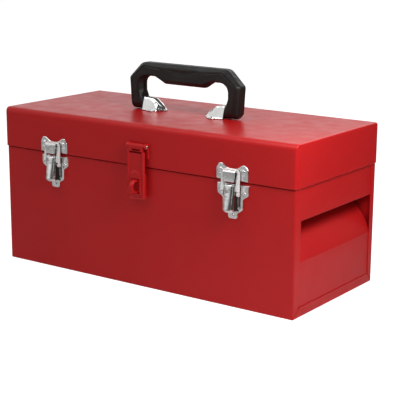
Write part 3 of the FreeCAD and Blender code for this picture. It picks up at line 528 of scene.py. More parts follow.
handle = {
    "footIn": 72, "legOut": 76.8, "footRise": 5.5, "shoulderDrop": 18.5, "shoulderIn": 60,
    "outIn": 1, "footWide": 57.5, "neckRise": 10.5, "legIn": 59.8, "arch": 39.3, "archIn": 39.5,
    "palm": 31.7, "palmHalf": 28.5, "legTop": 26, "outerCut": 5.2, "innerCut": 4.8,
    "innerBack": 6.4, "squareFoot": 0.35, "softness": 1.5, "belly": 0.03, "grooveIn": 2.2,
    "grooveHalf": 0.8, "grooveDeep": 0.6, "lensHalf": 31, "lensDrop": 6.4, "lensHigh": 0.4,
    "lensGap": 2.4, "markLong": 4.6, "markWide": 2.9, "markDeep": 0.4,
    # two pressed lines under the lens, as (depth, gap, half length where they fade)
    "lines": ((0.4, 0, 18), (0.35, 2.2, 11)), "lineFade": 6, "lineHalf": 0.6,
    # points on each edge line, how many of them hold the leg, and rows along leg and bend
    "fine": 1600, "legFine": 600, "legRows": 30, "bendRows": (46, 22, 26),
}


def handleGrip(h):
    low, high = cornersOf("handle_grip")
    foot, top, out, deep = low[2], high[2], high[0] - h["outIn"], high[1]
    pivot = foot + deep
    outer = evenly(roundedLine([(h["footIn"], foot), (h["legOut"], foot + h["footRise"]),
                                (out, top - h["shoulderDrop"]), (h["shoulderIn"], top), (0, top)],
                               [2.5, 4.5, 11]), h["fine"])
    inner = evenly(roundedLine([(h["footWide"], foot), (h["footWide"], foot + h["neckRise"]),
                                (h["legIn"], foot + h["neckRise"] + 4),
                                (h["legIn"], foot + h["arch"]),
                                (h["archIn"], foot + h["arch"]), (h["palmHalf"], foot + h["palm"]),
                                (0, foot + h["palm"])], [3, 3, 12.5, 5, 6]), h["fine"])

    def runs(line, stops, counts):
        at = [int(np.argmin(np.linalg.norm(line - stop, axis=1))) for stop in stops]
        parts = [evenly(line[a:b + 1], n)[:-1] for a, b, n in zip(at[:-1], at[1:], counts)]
        return np.concatenate(parts + [line[at[-1]:at[-1] + 1]])

    rise = foot + 0.02 + (h["legTop"] - 0.02) * np.linspace(0, 1, h["legRows"]) ** 1.7
    legs = [np.stack([np.interp(rise, line[:, 1], line[:, 0]), rise], 1)
            for line in (outer[:h["legFine"]], inner[:h["legFine"]])]
    arch, palm = foot + h["arch"], foot + h["palm"]
    bend = [runs(outer, [legs[0][-1], (h["shoulderIn"], top), (h["palmHalf"], top), (0, top)],
                 h["bendRows"]),
            runs(inner, [legs[1][-1], (h["archIn"], arch), (h["palmHalf"], palm), (0, palm)],
                 h["bendRows"])]
    o, i = (np.concatenate([leg[:-1], rest]) for leg, rest in zip(legs, bend))
    middle, across = (o + i) / 2, (o - i) / 2
    half = np.linalg.norm(across, axis=1)
    along = across / half[:, None]
    thick = deep + h["belly"] * step(-np.abs(middle[:, 0]), -45, -20)
    cutOut = np.minimum(h["outerCut"], 0.45 * np.minimum(half, thick))
    # the legs are squarer where they stand beside their brackets
    square = h["squareFoot"] + (1 - h["squareFoot"]) * step(middle[:, 1] - foot, 14, 24)
    cutIn = np.minimum(h["innerCut"] * square, 0.45 * np.minimum(half, thick))
    backIn = np.minimum(h["innerBack"] * square, 0.72 * thick)
    # eight corners of the section, as (place between inner and outer edge, place through)
    ring = [np.stack(c, 1) for c in (
        (half, cutOut - thick), (half, thick - cutOut), (half - cutOut, thick),
        (cutIn - half, thick), (-half, thick - backIn), (-half, backIn - thick),
        (cutIn - half, -thick), (half - cutOut, -thick))]
    g = h["grooveIn"] + h["grooveHalf"] * np.array([-1.2, -0.7, -0.35, 0, 0.35, 0.7, 1.2])
    columns = []
    for k, corner in enumerate(ring):
        before, after = ring[k - 1], ring[(k + 1) % 8]
        lengthIn = np.linalg.norm(corner - before, axis=1, keepdims=True)
        lengthOut = np.linalg.norm(after - corner, axis=1, keepdims=True)
        soft = np.minimum(h["softness"], 0.4 * np.minimum(lengthIn, lengthOut))
        p0 = corner + (before - corner) * soft / lengthIn
        p2 = corner + (after - corner) * soft / lengthOut
        for t in (0, 0.33, 0.67, 1):
            columns.append(p0 * (1 - t) ** 2 + corner * 2 * t * (1 - t) + p2 * t * t)
        span = after - corner
        # the two broad faces, k 2 and 6, get columns close together where their groove runs
        if k in (2, 6):
            near = g / lengthOut
            rest = np.linspace(0, 1, 14)[1:-1]
            shares = np.concatenate([near, near[:, -1:] + (0.94 - near[:, -1:]) * rest], 1)
            if k == 6:
                shares = 1 - shares[:, ::-1]
        else:
            count = 10 if k == 0 else 4
            shares = np.broadcast_to(np.linspace(0.14, 0.86, count), (len(half), count))
        columns += [corner + span * shares[:, j:j + 1] for j in range(shares.shape[1])]
    section = np.stack(columns, 1)
    inPlane, through = section[..., 0], section[..., 1]
    x = middle[:, :1] + along[:, :1] * inPlane
    z = middle[:, 1:] + along[:, 1:] * inPlane
    # relief of the broad faces: a groove inside the outer edge of the legs, a raised lens on the
    # palm and two short lines under it, each with a bell-shaped profile
    broad = np.abs(through) > thick[:, None] - 1e-6
    edge = (half - cutOut)[:, None] - inPlane
    groove = -h["grooveDeep"] * np.exp(-((edge - h["grooveIn"]) / h["grooveHalf"] * 1.3) ** 2)
    groove = groove * step(np.abs(x), 30, 36)
    arc = top - h["lensDrop"] * (1 - (x / h["lensHalf"]) ** 2)
    facing = (np.abs(through) > (thick - cutOut)[:, None] - 1e-6) & (inPlane > 0)
    lens = h["lensHigh"] * step(z - arc, -0.7, 0.7)
    under = z - arc + h["lensGap"]
    for depth, gap, reach in h["lines"]:
        line = np.exp(-((under + gap) / h["lineHalf"]) ** 2)
        groove = groove - depth * line * step(-np.abs(x), -reach - h["lineFade"], -reach)
    through = through + np.sign(through) * np.where(broad, groove, 0)
    through = through + np.sign(through) * np.where(facing, lens * step(-np.abs(x), -33, -28), 0)
    # an oval mark pressed into the shoulder of each leg
    outside = inPlane > half[:, None] - 1e-6
    shoulder = np.array([(out + h["shoulderIn"]) / 2, top - h["shoulderDrop"] / 2])
    away = np.sqrt(((x - shoulder[0]) ** 2 + (z - shoulder[1]) ** 2) / h["markLong"] ** 2
                   + (through / h["markWide"]) ** 2)
    mark = np.where(outside, -h["markDeep"] * np.exp(-((away - 1) / 0.22) ** 2), 0)
    x, z = x + along[:, :1] * mark, z + along[:, 1:] * mark
    # each foot is round about its pin
    limit = np.sqrt(np.clip(deep ** 2 - np.clip(pivot - z, 0, deep) ** 2, 1e-4, None))
    limit = np.where(z < pivot, limit, np.inf)
    through = np.clip(through, -limit, limit)
    right = np.stack([x, through, z], -1)
    whole = np.concatenate([right, right[-2::-1] * [-1, 1, 1]])
    makePiece("handleGripMoulded", [roundShell(whole)], "black_grip", "handle", ["handle_grip"],
              sharp=40)


bracket = {
    "toe": 28.6, "noseWide": 1.6, "bodyWide": 9, "crown": 0.58, "plate": 1, "slotHalf": 2.7,
    "slotDeep": 3.2, "shadeGrip": 0.25, "shadeHigh": 1.6,
    # heights of the crown and half widths of the flange, as (x, value)
    "ridge": [(28.6, 1.05), (30.6, 1.5), (33.0, 4.6), (45, 13.6), (57.2, 14.9)],
    "flange": [(28.6, 2.2), (30.4, 4.2), (36.0, 9.6), (38.2, 13.6), (41, 14.6), (46, 14.6),
               (48.8, 13.6), (50.6, 10.9), (53.5, 10.6), (57.2, 10.8)],
    "rivets": (43.5, 11.6), "head": (2.5, 1.6), "tail": (1.9, 1.0),
}


def handleBracket(b, side, name, node):
    end = cornersOf("handle_bracket_right")[1][0]
    x = np.linspace(b["toe"], end, 64)
    ridge = roundedLine(b["ridge"], 3.5)
    high = np.interp(x, ridge[:, 0], ridge[:, 1])
    brim = roundedLine(b["flange"], 1.5)
    flange = np.interp(x, brim[:, 0], brim[:, 1])
    share = np.clip((x - b["toe"] - 1) / 7.5, 0, 1)
    wide = np.minimum(b["noseWide"] + (b["bodyWide"] - b["noseWide"]) * share ** 0.7,
                      flange - 0.7)
    crown = np.maximum(wide * b["crown"], 1.25)
    slot = b["slotDeep"] * step(x, b["toe"] + 1.5, b["toe"] + 4) * step(-x, -end + 1, -end + 3)
    slot = np.minimum(slot, 0.6 * (high - 0.4))
    slotWide = np.minimum(b["slotHalf"], crown - 0.7)
    # half of the section from the flange's foot over the crown into the slot, as (out, up)
    p, rise = b["plate"], high - b["plate"]
    half = [(flange - 0.55, 0 * x + 0.05), (flange, 0 * x + 0.72), (flange - 0.25, 0 * x + p),
            ((flange + wide) / 2 + 0.3, 0 * x + p), (wide + 0.75, 0 * x + p),
            (wide + 0.2, p + 0.05 * rise), (wide - 0.1, p + 0.16 * rise),
            (wide + (crown - wide) * 0.22, p + 0.38 * rise),
            (wide + (crown - wide) * 0.5, p + 0.62 * rise),
            (wide + (crown - wide) * 0.82, p + 0.84 * rise),
            (crown - 0.05, p + 0.94 * rise), (crown - 0.5, p + 0.99 * rise),
            (np.minimum(b["slotHalf"] + 0.3, crown - 0.55), high), (slotWide, high - 0.15),
            (slotWide, high - 0.5 * slot - 0.15), (slotWide * 0.8, high - slot),
            (0 * x, high - slot)]
    y = np.stack([c[0] for c in half] + [-c[0] for c in half[-2::-1]], 1)
    z = np.stack([c[1] for c in half] + [c[1] for c in half[-2::-1]], 1)
    skin = np.stack([side * np.broadcast_to(x[:, None], y.shape), y, lidTop + z], -1)
    base = skin.copy()
    base[..., 2] = lidTop + 0.02
    makePiece(name, [sheetShell(skin, base)], "bright_plate", "lid", [node], sharp=38)
    # painted shade: a black bar that fills the slot to just under the crown, standing in for the
    # shadow in the slot
    inner = x[3:-1]
    top = (high - 0.22 * slot)[3:-1]
    shadeWidth = (slotWide + b["shadeGrip"])[3:-1]
    rail = np.array([(-1, -1), (-1, 0), (1, 0), (1, -1)])
    y = shadeWidth[:, None] * rail[:, 0]
    z = lidTop + np.maximum(top[:, None] + rail[:, 1] * b["shadeHigh"], b["plate"] * 0.5)
    bar = np.stack([side * np.broadcast_to(inner[:, None], y.shape), y, z], -1)
    makePiece(name + "SlotShade", [roundShell(bar)], "black_grip", "lid", [], sharp=38)


def handleRivets(b):
    x, y = b["rivets"]
    shells = []
    for sx in (-1, 1):
        for at in ((sx * x, -y), (sx * x, y)):
            shells.append(dome((*at, lidTop + b["plate"]), (0, 0, 1), *b["head"]))
            shells.append(dome((*at, lidTop - sheet), (0, 0, -1), *b["tail"]))
    makePiece("handleRivetHeads", shells, "bright_plate", "lid", ["handle_rivets"])


handleGrip(handle)
handleBracket(bracket, 1, "handleBracketRight", "handle_bracket_right")
handleBracket(bracket, -1, "handleBracketLeft", "handle_bracket_left")
handleRivets(bracket)
print("handle ready")


latchAt = 125    # each latch's distance from the middle
keeper = {
    "half": [(20.2, 0.5), (20.2, 12.5), (16.8, 17.9), (12.6, 17.9), (5.5, 13.2)],
    "rounds": [1.6, 4, 2.4, 2, 9], "thick": 1.1, "edge": 0.9,
    "rivet": (14.3, 10.8), "head": (2.4, 1.3), "sink": 0.15, "dish": 0.3, "stepDeep": 0.5,
    "hookRise": 10.4, "hookHalf": 6.2, "hookWall": 1.0, "hookReturn": 2.5,
}
latchBase = {
    "half": [(6, -41.4), (6, -35), (12.9, -31), (12.9, -19), (19.9, -14.8), (19.9, -3.6)],
    "rounds": [5.6, 2.5, 4.2, 2.2, 4.5, 1.6], "thick": 1.1, "edge": 0.9,
    "middle": (0, -19.5), "rivet": (14.6, -13), "tongueRivet": (0, -37.6), "head": (2.3, 1.2),
    "sink": 0.15, "channel": 0.55, "bank": 0.35, "bankAt": 10.4,
    "cheekIn": 3.4, "cheekOut": 4.4, "cheekRound": 1.6,
}
lever = {
    "radius": 7.1, "wall": 1.0, "root": 3.6, "flat": 0.66, "groove": 0.5, "axisBack": 0.75,
    # front line of the side view, as (reach before the pivot, height over it)
    "front": [(2.6, 3.0), (3.4, 2.2), (4.0, -1.2), (4.6, -5.5), (7.9, -22.6), (8.1, -24.2),
              (6.6, -26.0)],
    "rounds": [1.5, 6, 12, 4, 1.6], "backTop": 2.2, "backLow": -23.4,
}
bail = {
    "armAt": 9.5, "armHalf": 2.1, "barHalf": 1.55, "depthHalf": 0.8, "armDepth": 2.9, "lean": 0.8,
    "clawOut": 4.3, "clawDrop": 7.4, "clawWall": 0.8, "clawHalf": 7.4, "eye": 2.3, "eyeHalf": 1.2,
    "corner": 2.6,
}
pinHead = (1.55, 0.7)    # radius and height of a latch pin's domed ends


def plateOutline(p):
    rounds = np.concatenate([p["rounds"], p["rounds"][::-1]])
    return evenLoop(mirrored(p["half"]), rounds, 260)


def latchKeeper(k, cx, side):
    low = cornersOf("latch_keeper_" + side)[0]
    middle = np.array([0, (k["half"][0][1] + k["half"][-1][1]) / 2])

    def relief(x, z):
        # a low step beside the hook and a soft dish round each rivet
        centre = k["stepDeep"] * (1 - step(np.abs(x), 6.6, 8.2)) * step(-z, -15.5, -13)
        x0, z0 = k["rivet"]
        far = np.sqrt((np.abs(x) - x0) ** 2 + (z - z0) ** 2)
        return centre - k["dish"] * np.exp(-((far - 3.4) / 0.8) ** 2)

    shells = [frontPlate(plateOutline(k), middle, k, lidFace, 26, cx, relief)]
    # the hook: a strip bent out of the plate, down over the bail's bar and back
    near, far, top = lidFace + 0.6, -low[1], seam + k["hookRise"]
    outside = roundedLine([(near, top), (far, top), (far, low[2]), (far - k["hookReturn"], low[2])],
                          [2.2, 2.0], 9)
    across = sideways(outside)
    inside = outside + across * k["hookWall"] * (-1 if across[0, 1] > 0 else 1)
    x = cx + np.linspace(-k["hookHalf"], k["hookHalf"], 12)
    shells.append(sheetShell(laid(outside, x), laid(inside, x)))
    makePiece("latchKeeper" + side.title(), shells, "bright_plate", "lid",
              ["latch_keeper_" + side], sharp=45)


def latchBasePlate(b, cx, side):
    def relief(x, z):
        # a channel behind the lever, between two low banks
        channel = (1 - step(np.abs(x), 7.6, 9.0)) * step(-z, 4.5, 6.5) * step(z, -33, -30)
        bank = np.exp(-((np.abs(x) - b["bankAt"]) / 1.1) ** 2) * step(z, -31, -28)
        return b["bank"] * bank - b["channel"] * channel

    shells = [frontPlate(plateOutline(b), np.array(b["middle"]), b, bodyFace, 30, cx, relief)]
    # two ears stand out from it and carry the lever's pin
    out, up = axisOf("lever_pin_" + side)
    r = b["cheekRound"]
    angle = np.linspace(-np.pi / 2, np.pi / 2, 13)
    cheek = np.concatenate([[(bodyFace + 0.5, up - r - 1.5)],
                            arcPoints(out, up, r, angle), [(bodyFace + 0.5, up - 1.8)]])
    cheek = evenly(cheek, 60, closed=True)
    thick = b["cheekOut"] - b["cheekIn"]
    for sx in (-1, 1):
        x0 = cx + sx * (b["cheekIn"] + b["cheekOut"]) / 2 - thick / 2
        shells.append(webPlate(cheek, thick, 0.2, 3, x0))
    makePiece("latchBase" + side.title(), shells, "bright_plate", "body", ["latch_base_" + side],
              sharp=45)


def latchRivets():
    lidShells, bodyShells = [], []
    for cx in (-latchAt, latchAt):
        for across in (-1, 1):
            x, z = keeper["rivet"]
            lidShells += rivetHeads(cx + across * x, seam + z, lidFace,
                                    keeper["thick"] - keeper["sink"], keeper["head"])
        spots = [(across * latchBase["rivet"][0], latchBase["rivet"][1]) for across in (-1, 1)]
        for x, z in spots + [latchBase["tongueRivet"]]:
            bodyShells += rivetHeads(cx + x, seam + z, bodyFace,
                                     latchBase["thick"] - latchBase["sink"], latchBase["head"])
    makePiece("keeperRivetHeads", lidShells, "bright_plate", "lid", ["keeper_rivets"])
    makePiece("latchBaseRivetHeads", bodyShells, "bright_plate", "body", ["latch_base_rivets"])


def latchLever(v, cx, side):
    out, up = axisOf("lever_pin_" + side)
    front = evenly(roundedLine(v["front"], v["rounds"]), 70)
    share = np.linspace(0, 1, len(front))
    back = v["backTop"] + (v["backLow"] - v["backTop"]) * share

    def skin(shrink):
        # a row across the lever at every height: up one flat wall, over a flattened arch with a
        # groove near each shoulder and down the other wall
        radius = v["radius"] - shrink
        reach = front[:, :1] - shrink
        turn = np.linspace(np.pi, 0, 33)[None]
        x = radius * np.cos(turn)
        f = -v["axisBack"] + (reach + v["axisBack"]) * np.sin(turn) ** v["flat"]
        f = f - v["groove"] * np.exp(-((np.abs(x) - 0.62 * radius) / 0.45) ** 2)
        root = np.linspace(-v["root"], -v["axisBack"], 4)[:-1]
        sides = np.broadcast_to(root, (len(front), 3))
        x = np.concatenate([sides * 0 - radius, np.broadcast_to(x, f.shape), sides * 0 + radius], 1)
        f = np.concatenate([sides, f, sides[:, ::-1]], 1)
        deep = (f + v["root"]) / (reach + v["root"])
        z = back[:, None] + (front[:, 1:] - back[:, None]) * deep
        return np.stack([cx + x, -(out + f), up + z], -1)

    obj = makePiece("latchLever" + side.title(), [sheetShell(skin(0), skin(v["wall"]))],
                    "bright_plate", "lever_" + side, ["latch_lever_" + side], sharp=50)
    # the flat side walls get the black finish: painted shade, standing in for their shadow
    secondLook(obj, "black_grip", "normal", lambda x: np.abs(x) > 0.96)


def latchBail(b, cx, side):
    high = cornersOf("latch_bail_" + side)[1]
    out, foot = axisOf("bail_pin_" + side)
    top, arm = high[2] - b["barHalf"], b["armAt"]
    path = evenly(roundedLine([(arm, foot), (arm, top), (-arm, top), (-arm, foot)], b["corner"],
                              12), 140)
    lift = path[:, 1] - foot
    # the arms are deeper plates that narrow towards the bar and the eyes
    deeper = step(lift, 1.0, 5.0) * step(-lift, -(top - foot) + 1.5, -(top - foot) + 6.5)
    lean = b["armDepth"] * (1 - b["lean"] * lift / (top - foot))
    depth = b["depthHalf"] + (lean - b["depthHalf"]) * deeper
    base = roundedBox(1, 1, 0.7)
    inPlane = base[:, 0] * (b["barHalf"] + (b["armHalf"] - b["barHalf"]) * deeper[:, None])
    through = base[:, 1] * depth[:, None] + (depth - b["depthHalf"])[:, None] * 0.9
    ahead = np.gradient(path, axis=0)
    ahead /= np.linalg.norm(ahead, axis=1, keepdims=True)
    shells = [roundShell(np.stack([cx + path[:, :1] + ahead[:, 1:] * inPlane, -(out + through),
                                   path[:, 1:] - ahead[:, :1] * inPlane], -1))]
    # the claw: a band curled over the bar and down in front of the hook
    claw = out + b["clawOut"]
    line = evenly(roundedLine([(out - 0.2, top + 0.9), (out + 2.3, top + 1.0), (claw, top - 0.8),
                               (claw + 0.5, top - b["clawDrop"])], [1.0, 1.0]), 26)
    across = sideways(line)
    inside = line + across * (b["clawWall"] if across[0, 1] < 0 else -b["clawWall"])
    x = cx + np.linspace(-b["clawHalf"], b["clawHalf"], 20)
    shells.append(sheetShell(laid(line, x), laid(inside, x)))
    for eye in (cx - arm, cx + arm):
        shells.append(rodAlongX((-out, foot), b["eye"], eye - b["eyeHalf"], eye + b["eyeHalf"]))
    obj = makePiece("latchBail" + side.title(), shells, "bright_plate", "bail_" + side,
                    ["latch_bail_" + side], sharp=40, look="painted_light")
    # the arms are paler than the claw between them: painted light, standing in for the lamp light
    # on their sides
    secondLook(obj, "bright_plate", "center",
               lambda x: np.abs(x / mm - cx) < b["clawHalf"] + 0.05)


def latchPins(side):
    for kind, body in (("lever", "body"), ("bail", "lever_" + side)):
        low, high = cornersOf(f"{kind}_pin_{side}")
        pinPiece(f"{kind}Pin" + side.title(), f"{kind}_pin_{side}", body, (high[2] - low[2]) / 2,
                 0, pinHead)


for latchSide, latchX in (("right", latchAt), ("left", -latchAt)):
    latchKeeper(keeper, latchX, latchSide)
    latchBasePlate(latchBase, latchX, latchSide)
    latchLever(lever, latchX, latchSide)
    latchBail(bail, latchX, latchSide)
    latchPins(latchSide)
latchRivets()
print("latches ready")


strap = {
    "half": 12, "neckHalf": 9.9, "corner": 4, "thick": 1.6, "low": -36.4, "neckRise": 17,
    "slotHalf": 5.5, "slotLow": -30.2, "slotHigh": -13.2, "ribAt": 10.4, "ribHalf": 0.85,
    "ribHigh": 0.8, "bossHalf": 8.2, "bossHigh": 0.95, "bossTop": -4.4, "lipHigh": 0.7,
    "brimDrop": 0.35, "neckSlotHalf": 6, "neckSlotLow": 0.9, "neckSlotHigh": 2.9, "barrel": 2.8,
    "rollWall": 1.15,
    # where the columns of points have to fall, so that the slot and the ribs are cut cleanly
    "stops": [-12, -11.4, -9.4, -5.5, 5.5, 9.4, 11.4, 12],
}
hinged = {
    "plateHalf": 14.5, "ear": 10.3, "plateLow": 9, "plateHigh": 20.6, "middle": 14.8, "thick": 1.2,
    "edge": 0.5, "knuckle": 2.85, "rivet": (6.5, 14), "head": (2.1, 0.9), "sink": 0.1,
    "pin": (1.4, 0.6, (2.0, 0.8)),
}
staple = {
    "half": 2.9, "bar": 2.4, "plateHalf": 9, "plateLow": -38, "plateHigh": -8, "thick": 1.2,
    "edge": 0.5, "centre": -22.0, "round": 6.5, "out": 9.3, "rivetOut": 12.4, "head": (2.1, 0.8),
    "sink": 0.1,
}


def gridLines(stops, gap):
    # places along one direction: every stop, with even steps no longer than the gap between them
    parts = []
    for a, b in zip(stops[:-1], stops[1:]):
        parts.append(np.linspace(a, b, max(2, int(np.ceil((b - a) / gap)) + 1))[:-1])
    return np.concatenate(parts + [[stops[-1]]])


def squeezed(x, z, half, corner, low):
    # pulls a rectangle's two lower corners onto arcs of the corner's radius
    lift = np.clip(low + corner - z, 0, corner)
    inset = corner - np.sqrt(np.clip(corner ** 2 - lift ** 2, 0, None))
    return x * (half - inset) / half


def haspStrap(s):
    out, up = axisOf("hasp_pin")
    front, neck, near = out + s["barrel"], s["neckRise"], 0.01
    xs = gridLines(s["stops"], 0.7)
    zs = gridLines([s["low"], s["low"] + 1, s["slotLow"], s["slotHigh"], s["bossTop"], neck], 0.8)
    z, x = np.meshgrid(zs, xs, indexing="ij")
    hole = (np.abs(x) <= s["slotHalf"] + near) & (z >= s["slotLow"] - near)
    hole &= z <= s["slotHigh"] + near
    keep = ~(hole[:-1, :-1] & hole[1:, 1:] & hole[:-1, 1:] & hole[1:, :-1])
    # pressed relief: two long ribs, an arched boss round the slot and a lip at the bottom
    ribs = s["ribHigh"] * np.exp(-((np.abs(x) - s["ribAt"]) / s["ribHalf"]) ** 4)
    ribs = ribs * step(z, -35.4, -33.4) * step(-z, -neck - 0.2, -neck + 2)
    arch = np.where(z > s["bossTop"] - s["bossHalf"],
                    np.hypot(x, z - s["bossTop"] + s["bossHalf"]), np.abs(x)) - s["bossHalf"]
    boss = s["bossHigh"] * step(-arch, -0.1, 1.6) * step(z, -34.2, -32.6)
    lip = s["lipHigh"] * step(-z, -s["low"] - 1.6, -s["low"] - 0.4)
    edge = np.minimum(s["half"] - np.abs(x), z - s["low"])
    height = np.maximum(np.maximum(ribs, boss), lip) - s["brimDrop"] * (1 - step(edge, 0, 0.5))
    flatX = squeezed(x, z, s["half"], s["corner"], s["low"])
    skin = np.stack([flatX, -(front + height), seam + z], -1)
    back = np.stack([flatX, 0 * x - (front - s["thick"]), seam + z], -1)
    shells = [sheetShell(skin, back, keep)]
    # the neck carries on up and rolls over the pin, with a narrow slot below the roll
    xs = gridLines([-s["neckHalf"], -s["neckSlotHalf"], s["neckSlotHalf"], s["neckHalf"]], 0.8)
    turn = np.linspace(0, 1.72 * np.pi, 40)
    rows = [seam + neck + rise for rise in (-1.5, s["neckSlotLow"], s["neckSlotHigh"])]
    sides = []
    for reach, r in ((front, s["barrel"]), (front - s["thick"], s["barrel"] - s["rollWall"])):
        line = np.concatenate([[(reach, row) for row in rows], arcPoints(out, up, r, turn)])
        sides.append(laid(line, xs).swapaxes(0, 1))
    keep = np.ones((len(line) - 1, len(xs) - 1), bool)
    keep[1] = np.abs((xs[:-1] + xs[1:]) / 2) > s["neckSlotHalf"]
    shells.append(sheetShell(*sides, keep))
    makePiece("haspStrapPressed", shells, "red_enamel", "hasp", ["hasp_strap"], sharp=40)


def haspBracket(b):
    out, up = axisOf("hasp_pin")
    half = b["plateHalf"]
    outline = evenLoop(rectangle(-half, b["plateLow"], half, b["plateHigh"]), 2.2, 180)
    shells = [frontPlate(outline, np.array([0, b["middle"]]), b, lidFace, 8)]
    # a barrel at each end, with a web that carries it on the plate
    web = evenLoop([(lidFace + 0.3, up - 4.2), (out + 0.4, up - 2.6), (out + 0.4, up + 2.6),
                    (lidFace + 0.3, up + 3.4)], 0.8, 80)
    for low, high in ((-half, -b["ear"]), (b["ear"], half)):
        shells.append(rodAlongX((-out, up), b["knuckle"], low, high, 32, 0.5))
        shells.append(webPlate(web, high - low, 0.4, 4, low))
    makePiece("haspBracketFolded", shells, "red_enamel", "lid", ["hasp_bracket"], sharp=45)
    pinPiece("haspPinRod", "hasp_pin", "lid", *b["pin"])
    heads = []
    for sx in (-1, 1):
        heads += rivetHeads(sx * b["rivet"][0], seam + b["rivet"][1], lidFace,
                            b["thick"] - b["sink"], b["head"])
    makePiece("haspRivetHeads", heads, "red_enamel", "lid", ["hasp_rivets"])


def haspStaple(s):
    outline = evenLoop(rectangle(-s["plateHalf"], s["plateLow"], s["plateHalf"], s["plateHigh"]), 3,
                       180)
    shells = [frontPlate(outline, np.array([0, s["centre"]]), s, bodyFace, 10)]
    # the loop: two legs and a half circle, in the plane square to x
    centre, r = seam + s["centre"], s["round"]
    turn = np.linspace(-np.pi / 2, np.pi / 2, 30)
    loop = np.concatenate([[(bodyFace + 0.3, centre - r)],
                           arcPoints(bodyFace + s["out"], centre, r, turn),
                           [(bodyFace + 0.3, centre + r)]])
    shells.append(tube(loop, roundedBox(s["half"], s["bar"] / 2, 0.6)))
    makePiece("haspStapleLoop", shells, "red_enamel", "body", ["hasp_staple"], sharp=45)
    heads = []
    for sz in (-1, 1):
        heads += rivetHeads(0, centre + sz * s["rivetOut"], bodyFace, s["thick"] - s["sink"],
                            s["head"])
    makePiece("stapleRivetHeads", heads, "red_enamel", "body", ["staple_rivets"])


haspStrap(strap)
haspBracket(hinged)
haspStaple(staple)
print("hasp ready")


box = {
    "corner": (2.6, 6.2), "foldEnd": 1.9, "foldSide": 6.0, "crown": 0.35, "lipRise": (0.3, 0.6),
    "lipRound": 0.22, "columns": (24, 60),
    "jogLow": 138.5, "jogHigh": 139.2, "jog": 1.0, "bendSide": 1.8, "bendEnd": 1.5,
    # widths of the flanges round the end panels, with mitred and relieved corners
    "front": 12, "back": 9, "base": 11, "slit": 0.63, "relief": 1.6,
    "flangeRows": (1, 0.94, 0.88, 0.8, 0.55, 0.3),
}


def lidRing(halfX, halfY, corner, inset, count):
    # a rectangle whose corners are quarter ellipses, each side pulled in by its own inset
    ax, ay = np.maximum(corner[0] - inset[0], 0.02), np.maximum(corner[1] - inset[1], 0.02)
    cx, cy = halfX - corner[0], halfY - corner[1]
    t = np.linspace(0, np.pi / 2, 9)
    parts = []
    for k, (sx, sy) in enumerate(((1, -1), (1, 1), (-1, 1), (-1, -1))):
        turn = t if k % 2 else t[::-1]
        parts.append(np.stack([sx * (cx + ax * np.cos(turn)), sy * (cy + ay * np.sin(turn))], 1))
        # the straight side that follows, up to where the next corner begins
        nextX, nextY = ((1, 1), (-1, 1), (-1, -1), (1, -1))[k]
        a = parts[-1][-1]
        b = np.array([nextX * (cx + (0 if k % 2 else ax)), nextY * (cy + (ay if k % 2 else 0))])
        parts.append(a + (b - a) * np.linspace(0, 1, count[k % 2] + 1)[1:-1, None])
    return np.concatenate(parts)


def lidSheet(b):
    low, high = cornersOf("lid_shell")
    halfX, halfY, top = high

    def skin(inset):
        # rows from the lip up the skirt, round the fold and over to the middle, which is crowned
        ex, ey = b["foldEnd"] - inset, b["foldSide"] - inset
        corner = (b["corner"][0] - inset, b["corner"][1] - inset)
        hx, hy = halfX - inset, halfY - inset
        rows = []
        for turn in np.linspace(0, np.pi / 2, 9):
            pull = 1 - np.cos(turn)
            ring = lidRing(hx, hy, corner, (ex * pull, ey * pull), b["columns"])
            # the drop from the top follows whichever side a point belongs to
            toEnd = np.clip((np.abs(ring[:, 0]) - hx + corner[0]) / corner[0], 0, 1)
            toSide = np.clip((np.abs(ring[:, 1]) - hy + corner[1]) / corner[1], 0, 1)
            share = toSide ** 2 / np.maximum(toSide ** 2 + toEnd ** 2, 1e-6)
            drop = (ex + (ey - ex) * share) * (1 - np.sin(turn))
            rows.append(np.column_stack([ring, top - inset - drop - b["crown"]]))
        heights = np.linspace(low[2] + 3, top - 9, 7) - b["crown"]
        heights = np.concatenate([low[2] + np.array(b["lipRise"]), heights])
        walls = [np.column_stack([rows[0][:, :2], np.full(len(rows[0]), z)]) for z in heights]
        tops = []
        for share in (0.03, 0.12, 0.3, 0.5, 0.7, 0.88):
            rise = b["crown"] * step(share, 0, 0.7)
            tops.append(rows[-1] * [1 - share, 1 - share, 1] + [0, 0, rise])
        return np.array(walls + rows + tops)

    outer, inner = skin(0), skin(sheet)
    # the lip is rounded over from skin to skin
    lip = []
    for own, other in ((inner[0], outer[0]), (outer[0], inner[0])):
        row = own + (other - own) * b["lipRound"]
        row[:, 2] = low[2]
        lip.append(row)
    grid = np.concatenate([inner[::-1], lip, outer])
    makePiece("lidSheet", [roundShell(grid)], "red_enamel", "lid", ["lid_shell"], sharp=60)


